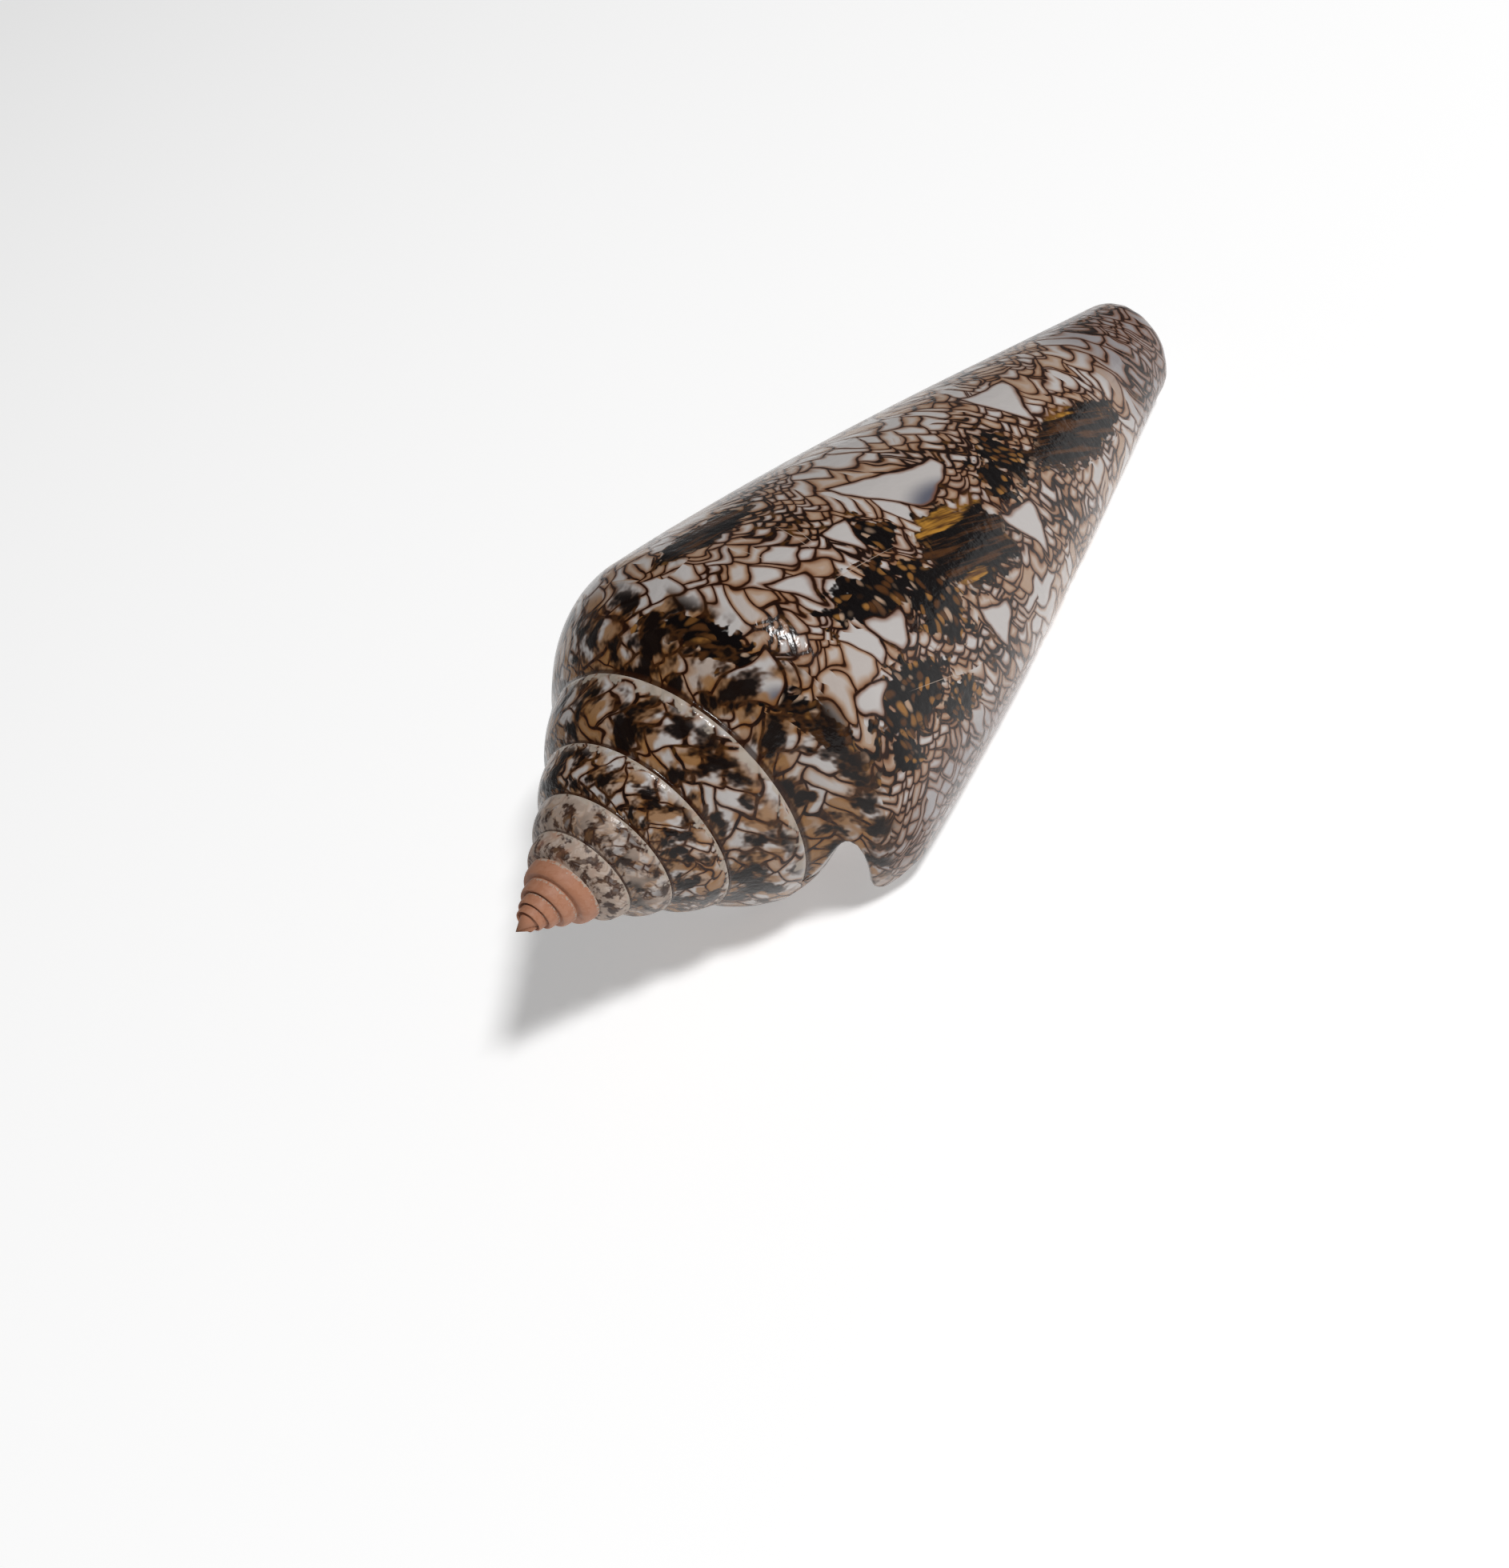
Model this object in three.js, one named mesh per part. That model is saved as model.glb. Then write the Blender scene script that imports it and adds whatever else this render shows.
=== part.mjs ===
// A cone shell, grown as one piece: a tall stepped spire, a long body whorl that
// narrows to the front end, a sinus in the lip beside the suture, and a slit
// aperture that runs the whole length of the body whorl.
// The shell coils round its axis. Growth is counted in turns: 0 is the lip, and
// -1 is one whorl earlier. Lengths are millimetres.
import * as THREE from "three";
import { ParametricGeometry } from "three/addons/geometries/ParametricGeometry.js";
import { mergeGeometries, mergeVertices } from "three/addons/utils/BufferGeometryUtils.js";

// Driving dimensions
const LIP_LENGTH = 82.2; // along the axis, from the apex to the front end of the lip
const SPIRE_HEIGHT = 24.9; // from the apex to the crest of the shoulder at the lip
const SHOULDER_RADIUS = 17.25; // radius of that crest
const WHORL_RADIUS_RATIO = 1.398; // each whorl's crest is wider than the last by this
const WHORL_HEIGHT_RATIO = 1.356; // and further from the apex by this
const LIP_CLIMB = 0.95; // the crest climbs back up the spire near the lip
const CLIMB_TURNS = 0.45; // the growth over which it climbs
const FRONT_RADIUS = 5.5; // radius of the front end at the lip
const FRONT_RADIUS_RATIO = 1.334; // growth of that radius in a turn
const COLUMELLA_REACH = 3.0; // the inner end stands ahead of the lip's by this
const EARLY_REACH = 0.25; // share of that reach that each earlier whorl still gives up
const FRONT_ROUNDING = 1.4; // rounding of the front end
const FRONT_BEND = 0.25; // share of the rounding that the front face bends in by
const RIM_BEND = 1.6; // how far the open front's rim bulges, in roundings
const TIP_BEND = 0.7; // share of the columella's radius where its end turns in
const TIP_REACH = 0.4; // how far that end stands out at the axis, in roundings
const SIDE_SWELL = 0.7; // how far the flank bows out
const SIDE_SWELL_SKEW = 0.46; // and how far the bow leans to the shoulder
const RAMP_SHARE = 0.648; // share of the ramp that the rounded shoulder takes up
const FLANK_SHARE = 0.055; // share of the flank that it takes up
const RAMP_HOLLOW = 0.012; // dip of the ramp between suture and shoulder
const CREST_SHARE = 0.5; // share of the shoulder's curve where its crest lies
const JOIN_SHARE = 0.75; // share of it where the next whorl's inner wall meets it
const SUTURE_STEP = 0.4; // depth of the suture below the crest it lies against
const SPIRE_TURNS = 8; // whorls above the lip
const LIP_ANGLE = 170.2; // where the lip stands about the axis, in degrees
const SINUS_DEPTH = 5.95; // how far the lip is cut back between suture and shoulder
const SINUS_END = 1 / 3; // share of the shoulder where the cut ends
const LIP_LOBE = 1.3; // how far the lip's corner stands forward at the crest of the shoulder
const LOBE_START = 0.2; // share of the shoulder where that corner starts
const LOBE_WIDTH = 0.5; // and the share that it takes up
const LIP_BACK = 1.3; // how far the lip stands back again just past that corner
const BACK_WIDTH = 0.25; // share of the shoulder over which it drops back
const BACK_END = 1 / 6; // share of the flank over which it comes forward again
const LIP_SWEEP = 1.2; // how far the flank of the lip stands forward in its middle
const SINUS_TURNS = 0.25; // the growth over which the sinus dies out
const LIP_EDGE = 0.9; // thickness of the outer lip at its edge
const WALL = 1.7; // and further in
const WALL_TURNS = 0.12; // the growth over which it thickens
const WALL_TAPER = 0.35; // share of its thickness that it loses towards the front
const CHANNEL_TURNS = 0.8; // how far the aperture leads back inside
const APERTURE_HOLLOW = 1.6; // hollowing of the columella beside the front of the aperture
const HOLLOW_TURNS = 0.26; // the growth over which that hollow dies out
const FLANK_HOLLOW = 0.3; // share of that hollow that the middle of the flank takes on
const REST_DIP = 8.3; // the axis slopes down to the front by this, in degrees
const REST_ROLL = 130.4; // the lip lies this far round from the top, in degrees

// Mesh density
const PER_TURN = 40;
const RAMP_ROWS = 3;
const SHOULDER_ROWS = 4;
const FLANK_ROWS = 11;
const FRONT_ROWS = 3;
const TIP_ROWS = 2;
const CREST_ROWS = 2; // from the crest to the flank
const WALL_STEP = 0.01; // share of a part over which its direction is measured
const WELD = 2e-4; // points closer than this are one

const smooth = (t) => THREE.MathUtils.smoothstep(t, 0, 1);
const mix = THREE.MathUtils.lerp;
const at = (x, r) => new THREE.Vector2(x, r);
const degrees = THREE.MathUtils.degToRad;
const clamp = (t) => THREE.MathUtils.clamp(t, 0, 1);

// Points of one growth line, as distance along the axis and radius

function crest(turn) {
  const climb = LIP_CLIMB * smooth((turn + CLIMB_TURNS) / CLIMB_TURNS);
  return at(
    SPIRE_HEIGHT * WHORL_HEIGHT_RATIO ** turn - climb,
    SHOULDER_RADIUS * WHORL_RADIUS_RATIO ** turn,
  );
}

function suture(turn) {
  return crest(turn - 1).add(at(SUTURE_STEP * WHORL_HEIGHT_RATIO ** turn, 0));
}

// How much the columella is hollowed beside the aperture
function hollow(turn) {
  return APERTURE_HOLLOW * smooth((HOLLOW_TURNS - 1 - turn) / HOLLOW_TURNS);
}

function front(turn) {
  const reach = turn > -1 ? -turn : 1 + EARLY_REACH + EARLY_REACH * turn;
  return at(
    LIP_LENGTH - FRONT_ROUNDING + COLUMELLA_REACH * reach,
    FRONT_RADIUS * FRONT_RADIUS_RATIO ** turn - hollow(turn),
  );
}

// The ramp and the flank would meet in this corner if the shoulder were sharp
function corner(turn) {
  return crest(turn)
    .addScaledVector(crest(turn - 1), -RAMP_SHARE / 4)
    .addScaledVector(front(turn), -FLANK_SHARE / 4)
    .divideScalar(1 - RAMP_SHARE / 4 - FLANK_SHARE / 4);
}

function shoulderCurve(turn) {
  const k = corner(turn);
  const onRamp = k.clone().lerp(crest(turn - 1), RAMP_SHARE);
  const onFlank = k.clone().lerp(front(turn), FLANK_SHARE);
  return new THREE.QuadraticBezierCurve(onRamp, k, onFlank);
}

// Parts of a growth line; v runs 0 to 1 from the spire side to the front side

function sutureStep(turn, v) {
  return crest(turn - 1).lerp(suture(turn), v);
}

function ramp(turn, v) {
  const end = shoulderCurve(turn).v0;
  const dip = RAMP_HOLLOW * end.distanceTo(suture(turn)) * 4 * v * (1 - v);
  return suture(turn).lerp(end, v).add(at(dip, -dip));
}

function shoulder(turn, v) {
  return shoulderCurve(turn).getPoint(v);
}

function flank(turn, v) {
  const size = corner(turn).y / SHOULDER_RADIUS;
  const bow = SIDE_SWELL * (1 - SIDE_SWELL_SKEW * (2 * v - 1)) * size;
  const start = shoulderCurve(turn).v2;
  const swell = 4 * v * (1 - v) * (bow - FLANK_HOLLOW * hollow(turn));
  return start.lerp(front(turn), v).add(at(0, swell));
}

// The front of the shell where it is closed, from the flank in to the whorl before
function frontFace(turn, v) {
  const from = front(turn);
  const bend = from.clone().add(at(FRONT_ROUNDING, -FRONT_BEND * FRONT_ROUNDING));
  return new THREE.QuadraticBezierCurve(from, bend, front(turn - 1)).getPoint(v);
}

// Parts of the inside of the wall, in the same order

function wallAt(part, turn, v) {
  const thickness = mix(LIP_EDGE, WALL, smooth(-turn / WALL_TURNS));
  return part === flank ? thickness * (1 - WALL_TAPER * v) : thickness;
}

// A point under the outer surface by the thickness of the wall
function under(part, turn, v) {
  const low = part(turn, Math.max(v - WALL_STEP, 0));
  const along = part(turn, Math.min(v + WALL_STEP, 1)).sub(low).normalize();
  return part(turn, v).add(at(along.y, -along.x).multiplyScalar(wallAt(part, turn, v)));
}

// The corner where the inside of the wall meets the whorl before
function innerCorner(turn) {
  return shoulder(turn - 1, JOIN_SHARE);
}

function underRamp(turn, v) {
  return innerCorner(turn).lerp(under(shoulder, turn, 0), v);
}

function underShoulder(turn, v) {
  return under(shoulder, turn, v);
}

function underFlank(turn, v) {
  return v > 0 ? under(flank, turn, v) : under(shoulder, turn, 1);
}

// The rounded rim between the flank and the inside of the wall at the open front
function frontRim(turn, v) {
  const from = front(turn);
  const to = underFlank(turn, 1);
  const bend = from.clone().lerp(to, 0.5).add(at(RIM_BEND * FRONT_ROUNDING, 0));
  return new THREE.QuadraticBezierCurve(from, bend, to).getPoint(v);
}

// The end of the columella, from the front of the inner whorl in to the axis
function tip(turn, v) {
  const from = front(turn);
  const pole = at(front(-2).x + TIP_REACH * FRONT_ROUNDING, 0);
  const bend = at(pole.x, TIP_BEND * from.y);
  return new THREE.QuadraticBezierCurve(from, bend, pole).getPoint(v);
}

// Placing a growth line about the axis

// How far the lip leads at a place on it, in millimetres
function lead(part, v) {
  if (part === ramp) return -SINUS_DEPTH * Math.sin((Math.PI / 2) * v);
  if (part === shoulder) {
    const lobe = Math.sin(Math.PI * clamp((v - LOBE_START) / LOBE_WIDTH)) ** 2;
    const back = smooth((v - CREST_SHARE) / BACK_WIDTH);
    return LIP_LOBE * lobe - LIP_BACK * back - SINUS_DEPTH * (1 - smooth(v / SINUS_END));
  }
  if (part === flank) {
    return LIP_SWEEP * Math.sin(Math.PI * v) - LIP_BACK * (1 - smooth(v / BACK_END));
  }
  return 0;
}

function around(p, turn, swing = 0) {
  const angle = degrees(LIP_ANGLE) + 2 * Math.PI * turn + swing;
  return new THREE.Vector3(p.x, p.y * Math.cos(angle), p.y * Math.sin(angle));
}

// Each inner part swings with the outer part it lies under
const OUTSIDE = new Map([
  [underRamp, ramp],
  [underShoulder, shoulder],
  [underFlank, flank],
]);

function place(part, turn, v) {
  const share = Math.max(0, 1 + turn / SINUS_TURNS) ** 2;
  const outside = OUTSIDE.get(part) ?? part;
  const swing = (share * lead(outside, v)) / Math.max(outside(turn, v).y, 1);
  return around(part(turn, v), turn, swing);
}

// Sheets of the surface

// A sheet of points from a function of u and v, both 0 to 1
function sheet(pointAt, columns, rows) {
  return new ParametricGeometry((u, v, target) => target.copy(pointAt(u, v)), columns, rows);
}

// What one part of the growth line sweeps out between two stages of growth
function grown(part, from, to, rows, v0 = 0, v1 = 1) {
  const pointAt = (u, v) => place(part, mix(from, to, u), mix(v0, v1, v));
  return sheet(pointAt, Math.round(Math.abs(to - from) * PER_TURN), rows);
}

// The flat sheet between two lines that have the same number of rows
function between(lineA, lineB, rows) {
  return sheet((u, v) => (u < 0.5 ? lineA(v) : lineB(v)), 1, rows);
}

// Part of a growth line at one stage, as a line of points
function line(part, turn, v0 = 0, v1 = 1) {
  return (v) => place(part, turn, mix(v0, v1, v));
}

function point(part, turn, v) {
  return () => place(part, turn, v);
}

// The line of a shoulder on either side of its crest
function onCrestSide(part, turn) {
  return line(part, turn, 0, CREST_SHARE);
}

function onFlankSide(part, turn) {
  return line(part, turn, CREST_SHARE, 1);
}

function spire() {
  const start = -SPIRE_TURNS;
  const apex = () => new THREE.Vector3(0, 0, 0);
  const cone = (u, v) => apex().lerp(place(sutureStep, mix(start, start + 1, u), 0), v);
  return [
    sheet(cone, PER_TURN, 1),
    between(apex, line(sutureStep, start), 1),
    between(apex, line(ramp, start), RAMP_ROWS),
    between(apex, onCrestSide(shoulder, start), SHOULDER_ROWS),
    grown(sutureStep, start, 0, 1),
    grown(ramp, start, 0, RAMP_ROWS),
    grown(shoulder, start, 0, SHOULDER_ROWS, 0, CREST_SHARE),
  ];
}

function bodyWhorl() {
  return [
    grown(shoulder, -1, 0, CREST_ROWS, CREST_SHARE, 1),
    grown(flank, -1, 0, FLANK_ROWS),
    grown(frontFace, -1, -CHANNEL_TURNS, FRONT_ROWS),
    grown(frontRim, -CHANNEL_TURNS, 0, FRONT_ROWS),
    grown(tip, -2, -1, TIP_ROWS),
    between(line(tip, -1), line(tip, -2), TIP_ROWS),
    between(point(frontFace, -1, 1), line(frontFace, -1), FRONT_ROWS),
  ];
}

// The cut edge of the lip, from its outer line to its inner line
function lipEdge() {
  const join = point(shoulder, -1, JOIN_SHARE);
  return [
    between(line(sutureStep, 0), join, 1),
    between(line(shoulder, -1, CREST_SHARE, JOIN_SHARE), join, 1),
    between(line(ramp, 0), line(underRamp, 0), RAMP_ROWS),
    between(onCrestSide(shoulder, 0), onCrestSide(underShoulder, 0), SHOULDER_ROWS),
    between(onFlankSide(shoulder, 0), onFlankSide(underShoulder, 0), CREST_ROWS),
    between(line(flank, 0), line(underFlank, 0), FLANK_ROWS),
    between(line(frontRim, 0), point(underFlank, 0, 1), FRONT_ROWS),
  ];
}

// The channel behind the aperture: its roof under the wall, its floor on the whorl before
function channel() {
  const end = -CHANNEL_TURNS;
  return [
    grown(underRamp, 0, end, RAMP_ROWS),
    grown(underShoulder, 0, end, SHOULDER_ROWS, 0, CREST_SHARE),
    grown(underShoulder, 0, end, CREST_ROWS, CREST_SHARE, 1),
    grown(underFlank, 0, end, FLANK_ROWS),
    grown(shoulder, end - 1, -1, 1, JOIN_SHARE, 1),
    grown(flank, end - 1, -1, FLANK_ROWS),
  ];
}

// The flat end of the channel inside
function channelEnd() {
  const end = -CHANNEL_TURNS;
  const inmost = point(underRamp, end, 0);
  return [
    between(line(underRamp, end), inmost, RAMP_ROWS),
    between(onCrestSide(underShoulder, end), inmost, SHOULDER_ROWS),
    between(onFlankSide(underShoulder, end), inmost, CREST_ROWS),
    between(point(underShoulder, end, 1), line(shoulder, end - 1, JOIN_SHARE, 1), 1),
    between(line(underFlank, end), line(flank, end - 1), FLANK_ROWS),
    between(line(frontFace, end), line(frontRim, end), FRONT_ROWS),
  ];
}

// One closed surface from sheets that share their edges, without the faces a pole makes flat
function joined(sheets) {
  const bare = sheets.map((g) => g.deleteAttribute("normal").deleteAttribute("uv"));
  const whole = mergeVertices(mergeGeometries(bare), WELD);
  const corners = whole.index.array;
  const kept = [];
  for (let i = 0; i < corners.length; i += 3) {
    const [a, b, c] = corners.slice(i, i + 3);
    if (a !== b && b !== c && c !== a) kept.push(a, b, c);
  }
  return whole.setIndex(kept);
}

// Lays the shell down on its lip, with the origin under the middle of its outline
function laidDown(geometry) {
  geometry.rotateX(degrees(REST_ROLL) - degrees(LIP_ANGLE) + Math.PI / 2);
  geometry.rotateY(degrees(REST_DIP));
  geometry.computeBoundingBox();
  const box = geometry.boundingBox;
  const middle = box.getCenter(new THREE.Vector3());
  return geometry.translate(-middle.x, -middle.y, -box.min.z);
}

const surface = [...spire(), ...bodyWhorl(), ...lipEdge(), ...channel(), ...channelEnd()];
const shell = new THREE.Mesh(
  laidDown(joined(surface)),
  new THREE.MeshStandardMaterial({ color: 0x7a5c4a, roughness: 0.25, metalness: 0 }),
);
shell.name = "shell";

const group = new THREE.Group();
group.add(shell);

export default group;
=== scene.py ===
"""A cone shell, resting on its lip on a pale studio floor.

The shell is one piece. Its surface is swept out by one growth line that turns about
the axis and gets larger, and every marking is laid out in the coordinates of that
growth: along the spiral, and across it from the suture to the front end.
"""

from __future__ import annotations

import logging
import math
from dataclasses import dataclass
from enum import Enum
from typing import Callable, Sequence, Union

import bmesh
import bpy
import numpy as np
from mathutils import Matrix, Vector, noise


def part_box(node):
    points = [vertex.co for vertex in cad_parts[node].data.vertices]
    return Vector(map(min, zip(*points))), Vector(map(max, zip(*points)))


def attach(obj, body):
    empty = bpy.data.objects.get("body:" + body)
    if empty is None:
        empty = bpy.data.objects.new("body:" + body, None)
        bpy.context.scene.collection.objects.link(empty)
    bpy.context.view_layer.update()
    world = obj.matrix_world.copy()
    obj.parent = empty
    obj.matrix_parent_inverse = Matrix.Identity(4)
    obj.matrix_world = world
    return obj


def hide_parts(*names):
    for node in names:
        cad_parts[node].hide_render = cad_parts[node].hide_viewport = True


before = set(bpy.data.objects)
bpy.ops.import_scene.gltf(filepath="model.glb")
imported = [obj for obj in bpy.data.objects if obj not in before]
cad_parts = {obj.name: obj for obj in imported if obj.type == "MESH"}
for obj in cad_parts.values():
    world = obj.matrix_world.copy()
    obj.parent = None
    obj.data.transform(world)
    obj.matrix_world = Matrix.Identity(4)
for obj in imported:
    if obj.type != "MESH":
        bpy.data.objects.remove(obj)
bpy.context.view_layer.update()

Array = np.ndarray
Lay = Callable[[Array, Array], tuple[Array, Array]]
MM = 0.001
TURN = 2 * math.pi

log = logging.getLogger("cone_shell")


def smooth(value: Array) -> Array:
    """A ramp from 0 to 1 that starts and ends level."""
    t = np.clip(value, 0, 1)
    return t * t * (3 - 2 * t)


def at(along: Array, radius: Array) -> Array:
    """Points of a growth line, as distance along the axis and radius."""
    return np.stack(np.broadcast_arrays(along, radius), -1)


def blend(a: Array, b: Array, share: Array) -> Array:
    """Points the given share of the way from a to b."""
    return a + (b - a) * np.asarray(share)[..., None]


def bend(a: Array, b: Array, c: Array, v: Array) -> Array:
    """Points on the quadratic curve from a, towards b, to c."""
    return blend(blend(a, b, v), blend(b, c, v), v)


class Part(Enum):
    """The parts of a growth line, in order from the suture outwards, then those inside."""

    STEP = "step at the suture"
    RAMP = "ramp"
    SHOULDER = "shoulder"
    FLANK = "flank"
    FRONT_FACE = "closed front"
    FRONT_RIM = "open front"
    TIP = "end of the columella"
    UNDER_RAMP = "under the ramp"
    UNDER_SHOULDER = "under the shoulder"
    UNDER_FLANK = "under the flank"


OUTSIDE_OF = {
    Part.UNDER_RAMP: Part.RAMP,
    Part.UNDER_SHOULDER: Part.SHOULDER,
    Part.UNDER_FLANK: Part.FLANK,
}


@dataclass(frozen=True)
class Growth:
    """The law by which the shell grows. Stages are turns, 0 at the lip; lengths are millimetres."""

    lip_length: float = 82.2
    spire_height: float = 24.9
    shoulder_radius: float = 17.25
    radius_ratio: float = 1.398
    height_ratio: float = 1.356
    lip_climb: float = 0.95
    climb_turns: float = 0.45
    front_radius: float = 5.5
    front_ratio: float = 1.334
    columella_reach: float = 3.0
    inner_reach: float = 0.25
    front_rounding: float = 1.4
    swell: float = 0.7
    swell_skew: float = 0.46
    ramp_share: float = 0.648
    flank_share: float = 0.055
    ramp_hollow: float = 0.012
    suture_step: float = 0.4
    lip_angle: float = 170.2
    sinus_depth: float = 5.95
    lip_lobe: float = 1.3
    lip_back: float = 1.3
    lip_sweep: float = 1.2
    sinus_turns: float = 0.25
    lip_edge: float = 0.9
    wall: float = 1.7
    wall_turns: float = 0.12
    wall_taper: float = 0.35
    aperture_hollow: float = 1.6
    hollow_turns: float = 0.26
    inner_corner_at: float = 0.75
    flank_hollow: float = 0.3
    front_bend: float = 0.25
    rim_bend: float = 1.6
    tip_bend: float = 0.7
    tip_reach: float = 0.4
    sinus_end: float = 1 / 3
    lobe_start: float = 0.2
    lobe_width: float = 0.5
    back_start: float = 0.5
    back_width: float = 0.25
    back_end: float = 1 / 6
    wall_step: float = 0.01
    least_radius: float = 1.0

    def crest(self, turn: Array) -> Array:
        """The crest of the shoulder at each stage.

        Args:
            turn: stage of growth of each point.

        Returns:
            Distance along the axis and radius of each point.
        """
        climb = self.lip_climb * smooth((turn + self.climb_turns) / self.climb_turns)
        return at(
            self.spire_height * self.height_ratio**turn - climb,
            self.shoulder_radius * self.radius_ratio**turn,
        )

    def suture(self, turn: Array) -> Array:
        """The suture, a small step forward of the crest of the whorl before."""
        return self.crest(turn - 1) + at(self.suture_step * self.height_ratio**turn, 0 * turn)

    def hollow(self, turn: Array) -> Array:
        """How much the columella is hollowed beside the aperture."""
        return self.aperture_hollow * smooth((self.hollow_turns - 1 - turn) / self.hollow_turns)

    def front(self, turn: Array) -> Array:
        """The front end of the growth line at each stage.

        Args:
            turn: stage of growth of each point.

        Returns:
            Distance along the axis and radius of each point.
        """
        reach = np.where(turn > -1, -turn, 1 + self.inner_reach * (1 + turn))
        return at(
            self.lip_length - self.front_rounding + self.columella_reach * reach,
            self.front_radius * self.front_ratio**turn - self.hollow(turn),
        )

    def shoulder_curve(self, turn: Array) -> tuple[Array, Array, Array]:
        """The start, corner and end of the rounded shoulder at each stage."""
        a, b = self.ramp_share, self.flank_share
        before, ahead = self.crest(turn - 1), self.front(turn)
        corner = (self.crest(turn) - before * a / 4 - ahead * b / 4) / (1 - a / 4 - b / 4)
        return corner + (before - corner) * a, corner, corner + (ahead - corner) * b

    def step(self, turn: Array, v: Array) -> Array:
        """The small step between the whorl before and the suture."""
        return blend(self.crest(turn - 1), self.suture(turn), v)

    def ramp(self, turn: Array, v: Array) -> Array:
        """The slightly hollow ramp from the suture to the shoulder."""
        start, end = self.suture(turn), self.shoulder_curve(turn)[0]
        dip = self.ramp_hollow * np.linalg.norm(end - start, axis=-1) * 4 * v * (1 - v)
        return blend(start, end, v) + at(dip, -dip)

    def shoulder(self, turn: Array, v: Array) -> Array:
        """The rounded shoulder, with its crest half way across."""
        return bend(*self.shoulder_curve(turn), v)

    def flank(self, turn: Array, v: Array) -> Array:
        """The long side, bowed out a little, and hollowed beside the aperture.

        Args:
            turn: stage of growth of each point.
            v: place across the part, 0 to 1.

        Returns:
            Distance along the axis and radius of each point.
        """
        start, corner = self.shoulder_curve(turn)[2], self.shoulder_curve(turn)[1]
        size = corner[..., 1] / self.shoulder_radius
        bow = self.swell * (1 - self.swell_skew * (2 * v - 1)) * size
        return blend(start, self.front(turn), v) + at(
            0 * v, 4 * v * (1 - v) * (bow - self.flank_hollow * self.hollow(turn))
        )

    def front_face(self, turn: Array, v: Array) -> Array:
        """The front of the shell where it is closed, in to the whorl before."""
        start = self.front(turn)
        corner = start + self.front_rounding * np.array([1.0, -self.front_bend])
        return bend(start, corner, self.front(turn - 1), v)

    def front_rim(self, turn: Array, v: Array) -> Array:
        """The rounded rim between the flank and the inside of the wall at the open front."""
        start, end = self.front(turn), self.under_flank(turn, 0 * v + 1)
        corner = (start + end) / 2 + np.array([self.rim_bend * self.front_rounding, 0])
        return bend(start, corner, end, v)

    def tip(self, turn: Array, v: Array) -> Array:
        """The end of the columella, in to the axis."""
        start = self.front(turn)
        pole = self.front(0 * turn - 2)[..., 0] + self.tip_reach * self.front_rounding
        return bend(start, at(pole, self.tip_bend * start[..., 1]), at(pole, 0 * pole), v)

    def wall_at(self, part: Part, turn: Array, v: Array) -> Array:
        """The thickness of the wall, least at the lip and towards the front."""
        thickness = self.lip_edge + (self.wall - self.lip_edge) * smooth(-turn / self.wall_turns)
        return thickness * (1 - self.wall_taper * v) if part is Part.FLANK else thickness

    def under(self, part: Part, turn: Array, v: Array) -> Array:
        """Points under the outer surface by the thickness of the wall.

        Args:
            part: which part of the growth line.
            turn: stage of growth of each point.
            v: place across the part, 0 to 1.

        Returns:
            Distance along the axis and radius of each point.
        """
        low = self.section(part, turn, np.maximum(v - self.wall_step, 0))
        along = self.section(part, turn, np.minimum(v + self.wall_step, 1)) - low
        along = along / np.linalg.norm(along, axis=-1, keepdims=True)
        inwards = np.stack([along[..., 1], -along[..., 0]], -1)
        return self.section(part, turn, v) + inwards * self.wall_at(part, turn, v)[..., None]

    def under_ramp(self, turn: Array, v: Array) -> Array:
        """The inside of the wall under the ramp, from the whorl before."""
        inmost = self.shoulder(turn - 1, 0 * v + self.inner_corner_at)
        return blend(inmost, self.under(Part.SHOULDER, turn, 0 * v), v)

    def under_shoulder(self, turn: Array, v: Array) -> Array:
        """The inside of the wall under the shoulder."""
        return self.under(Part.SHOULDER, turn, v)

    def under_flank(self, turn: Array, v: Array) -> Array:
        """The inside of the wall under the flank."""
        first = self.under(Part.SHOULDER, turn, 0 * v + 1)
        return np.where(v[..., None] > 0, self.under(Part.FLANK, turn, v), first)

    def section(self, part: Part, turn: Array, v: Array) -> Array:
        """Points of one part of the growth line.

        Args:
            part: which part of the line.
            turn: stage of growth of each point.
            v: place across the part, 0 on the spire side to 1 on the front side.

        Returns:
            Distance along the axis and radius of each point.
        """
        sections: dict[Part, Callable[[Array, Array], Array]] = {
            Part.STEP: self.step,
            Part.RAMP: self.ramp,
            Part.SHOULDER: self.shoulder,
            Part.FLANK: self.flank,
            Part.FRONT_FACE: self.front_face,
            Part.FRONT_RIM: self.front_rim,
            Part.TIP: self.tip,
            Part.UNDER_RAMP: self.under_ramp,
            Part.UNDER_SHOULDER: self.under_shoulder,
            Part.UNDER_FLANK: self.under_flank,
        }
        return sections[part](turn, v)

    def lead(self, part: Part, v: Array) -> Array:
        """How far the lip leads, in millimetres: back in the sinus, forward at the lobe.

        Args:
            part: which part of the growth line.
            v: place across the part, 0 to 1.

        Returns:
            The lead of each point.
        """
        if part is Part.RAMP:
            return -self.sinus_depth * np.sin(math.pi / 2 * v)
        if part is Part.SHOULDER:
            lobe = np.sin(math.pi * np.clip((v - self.lobe_start) / self.lobe_width, 0, 1)) ** 2
            back = smooth((v - self.back_start) / self.back_width)
            sinus = 1 - smooth(v / self.sinus_end)
            return self.lip_lobe * lobe - self.lip_back * back - self.sinus_depth * sinus
        if part is Part.FLANK:
            back = 1 - smooth(v / self.back_end)
            return self.lip_sweep * np.sin(math.pi * v) - self.lip_back * back
        return 0 * v

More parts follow.
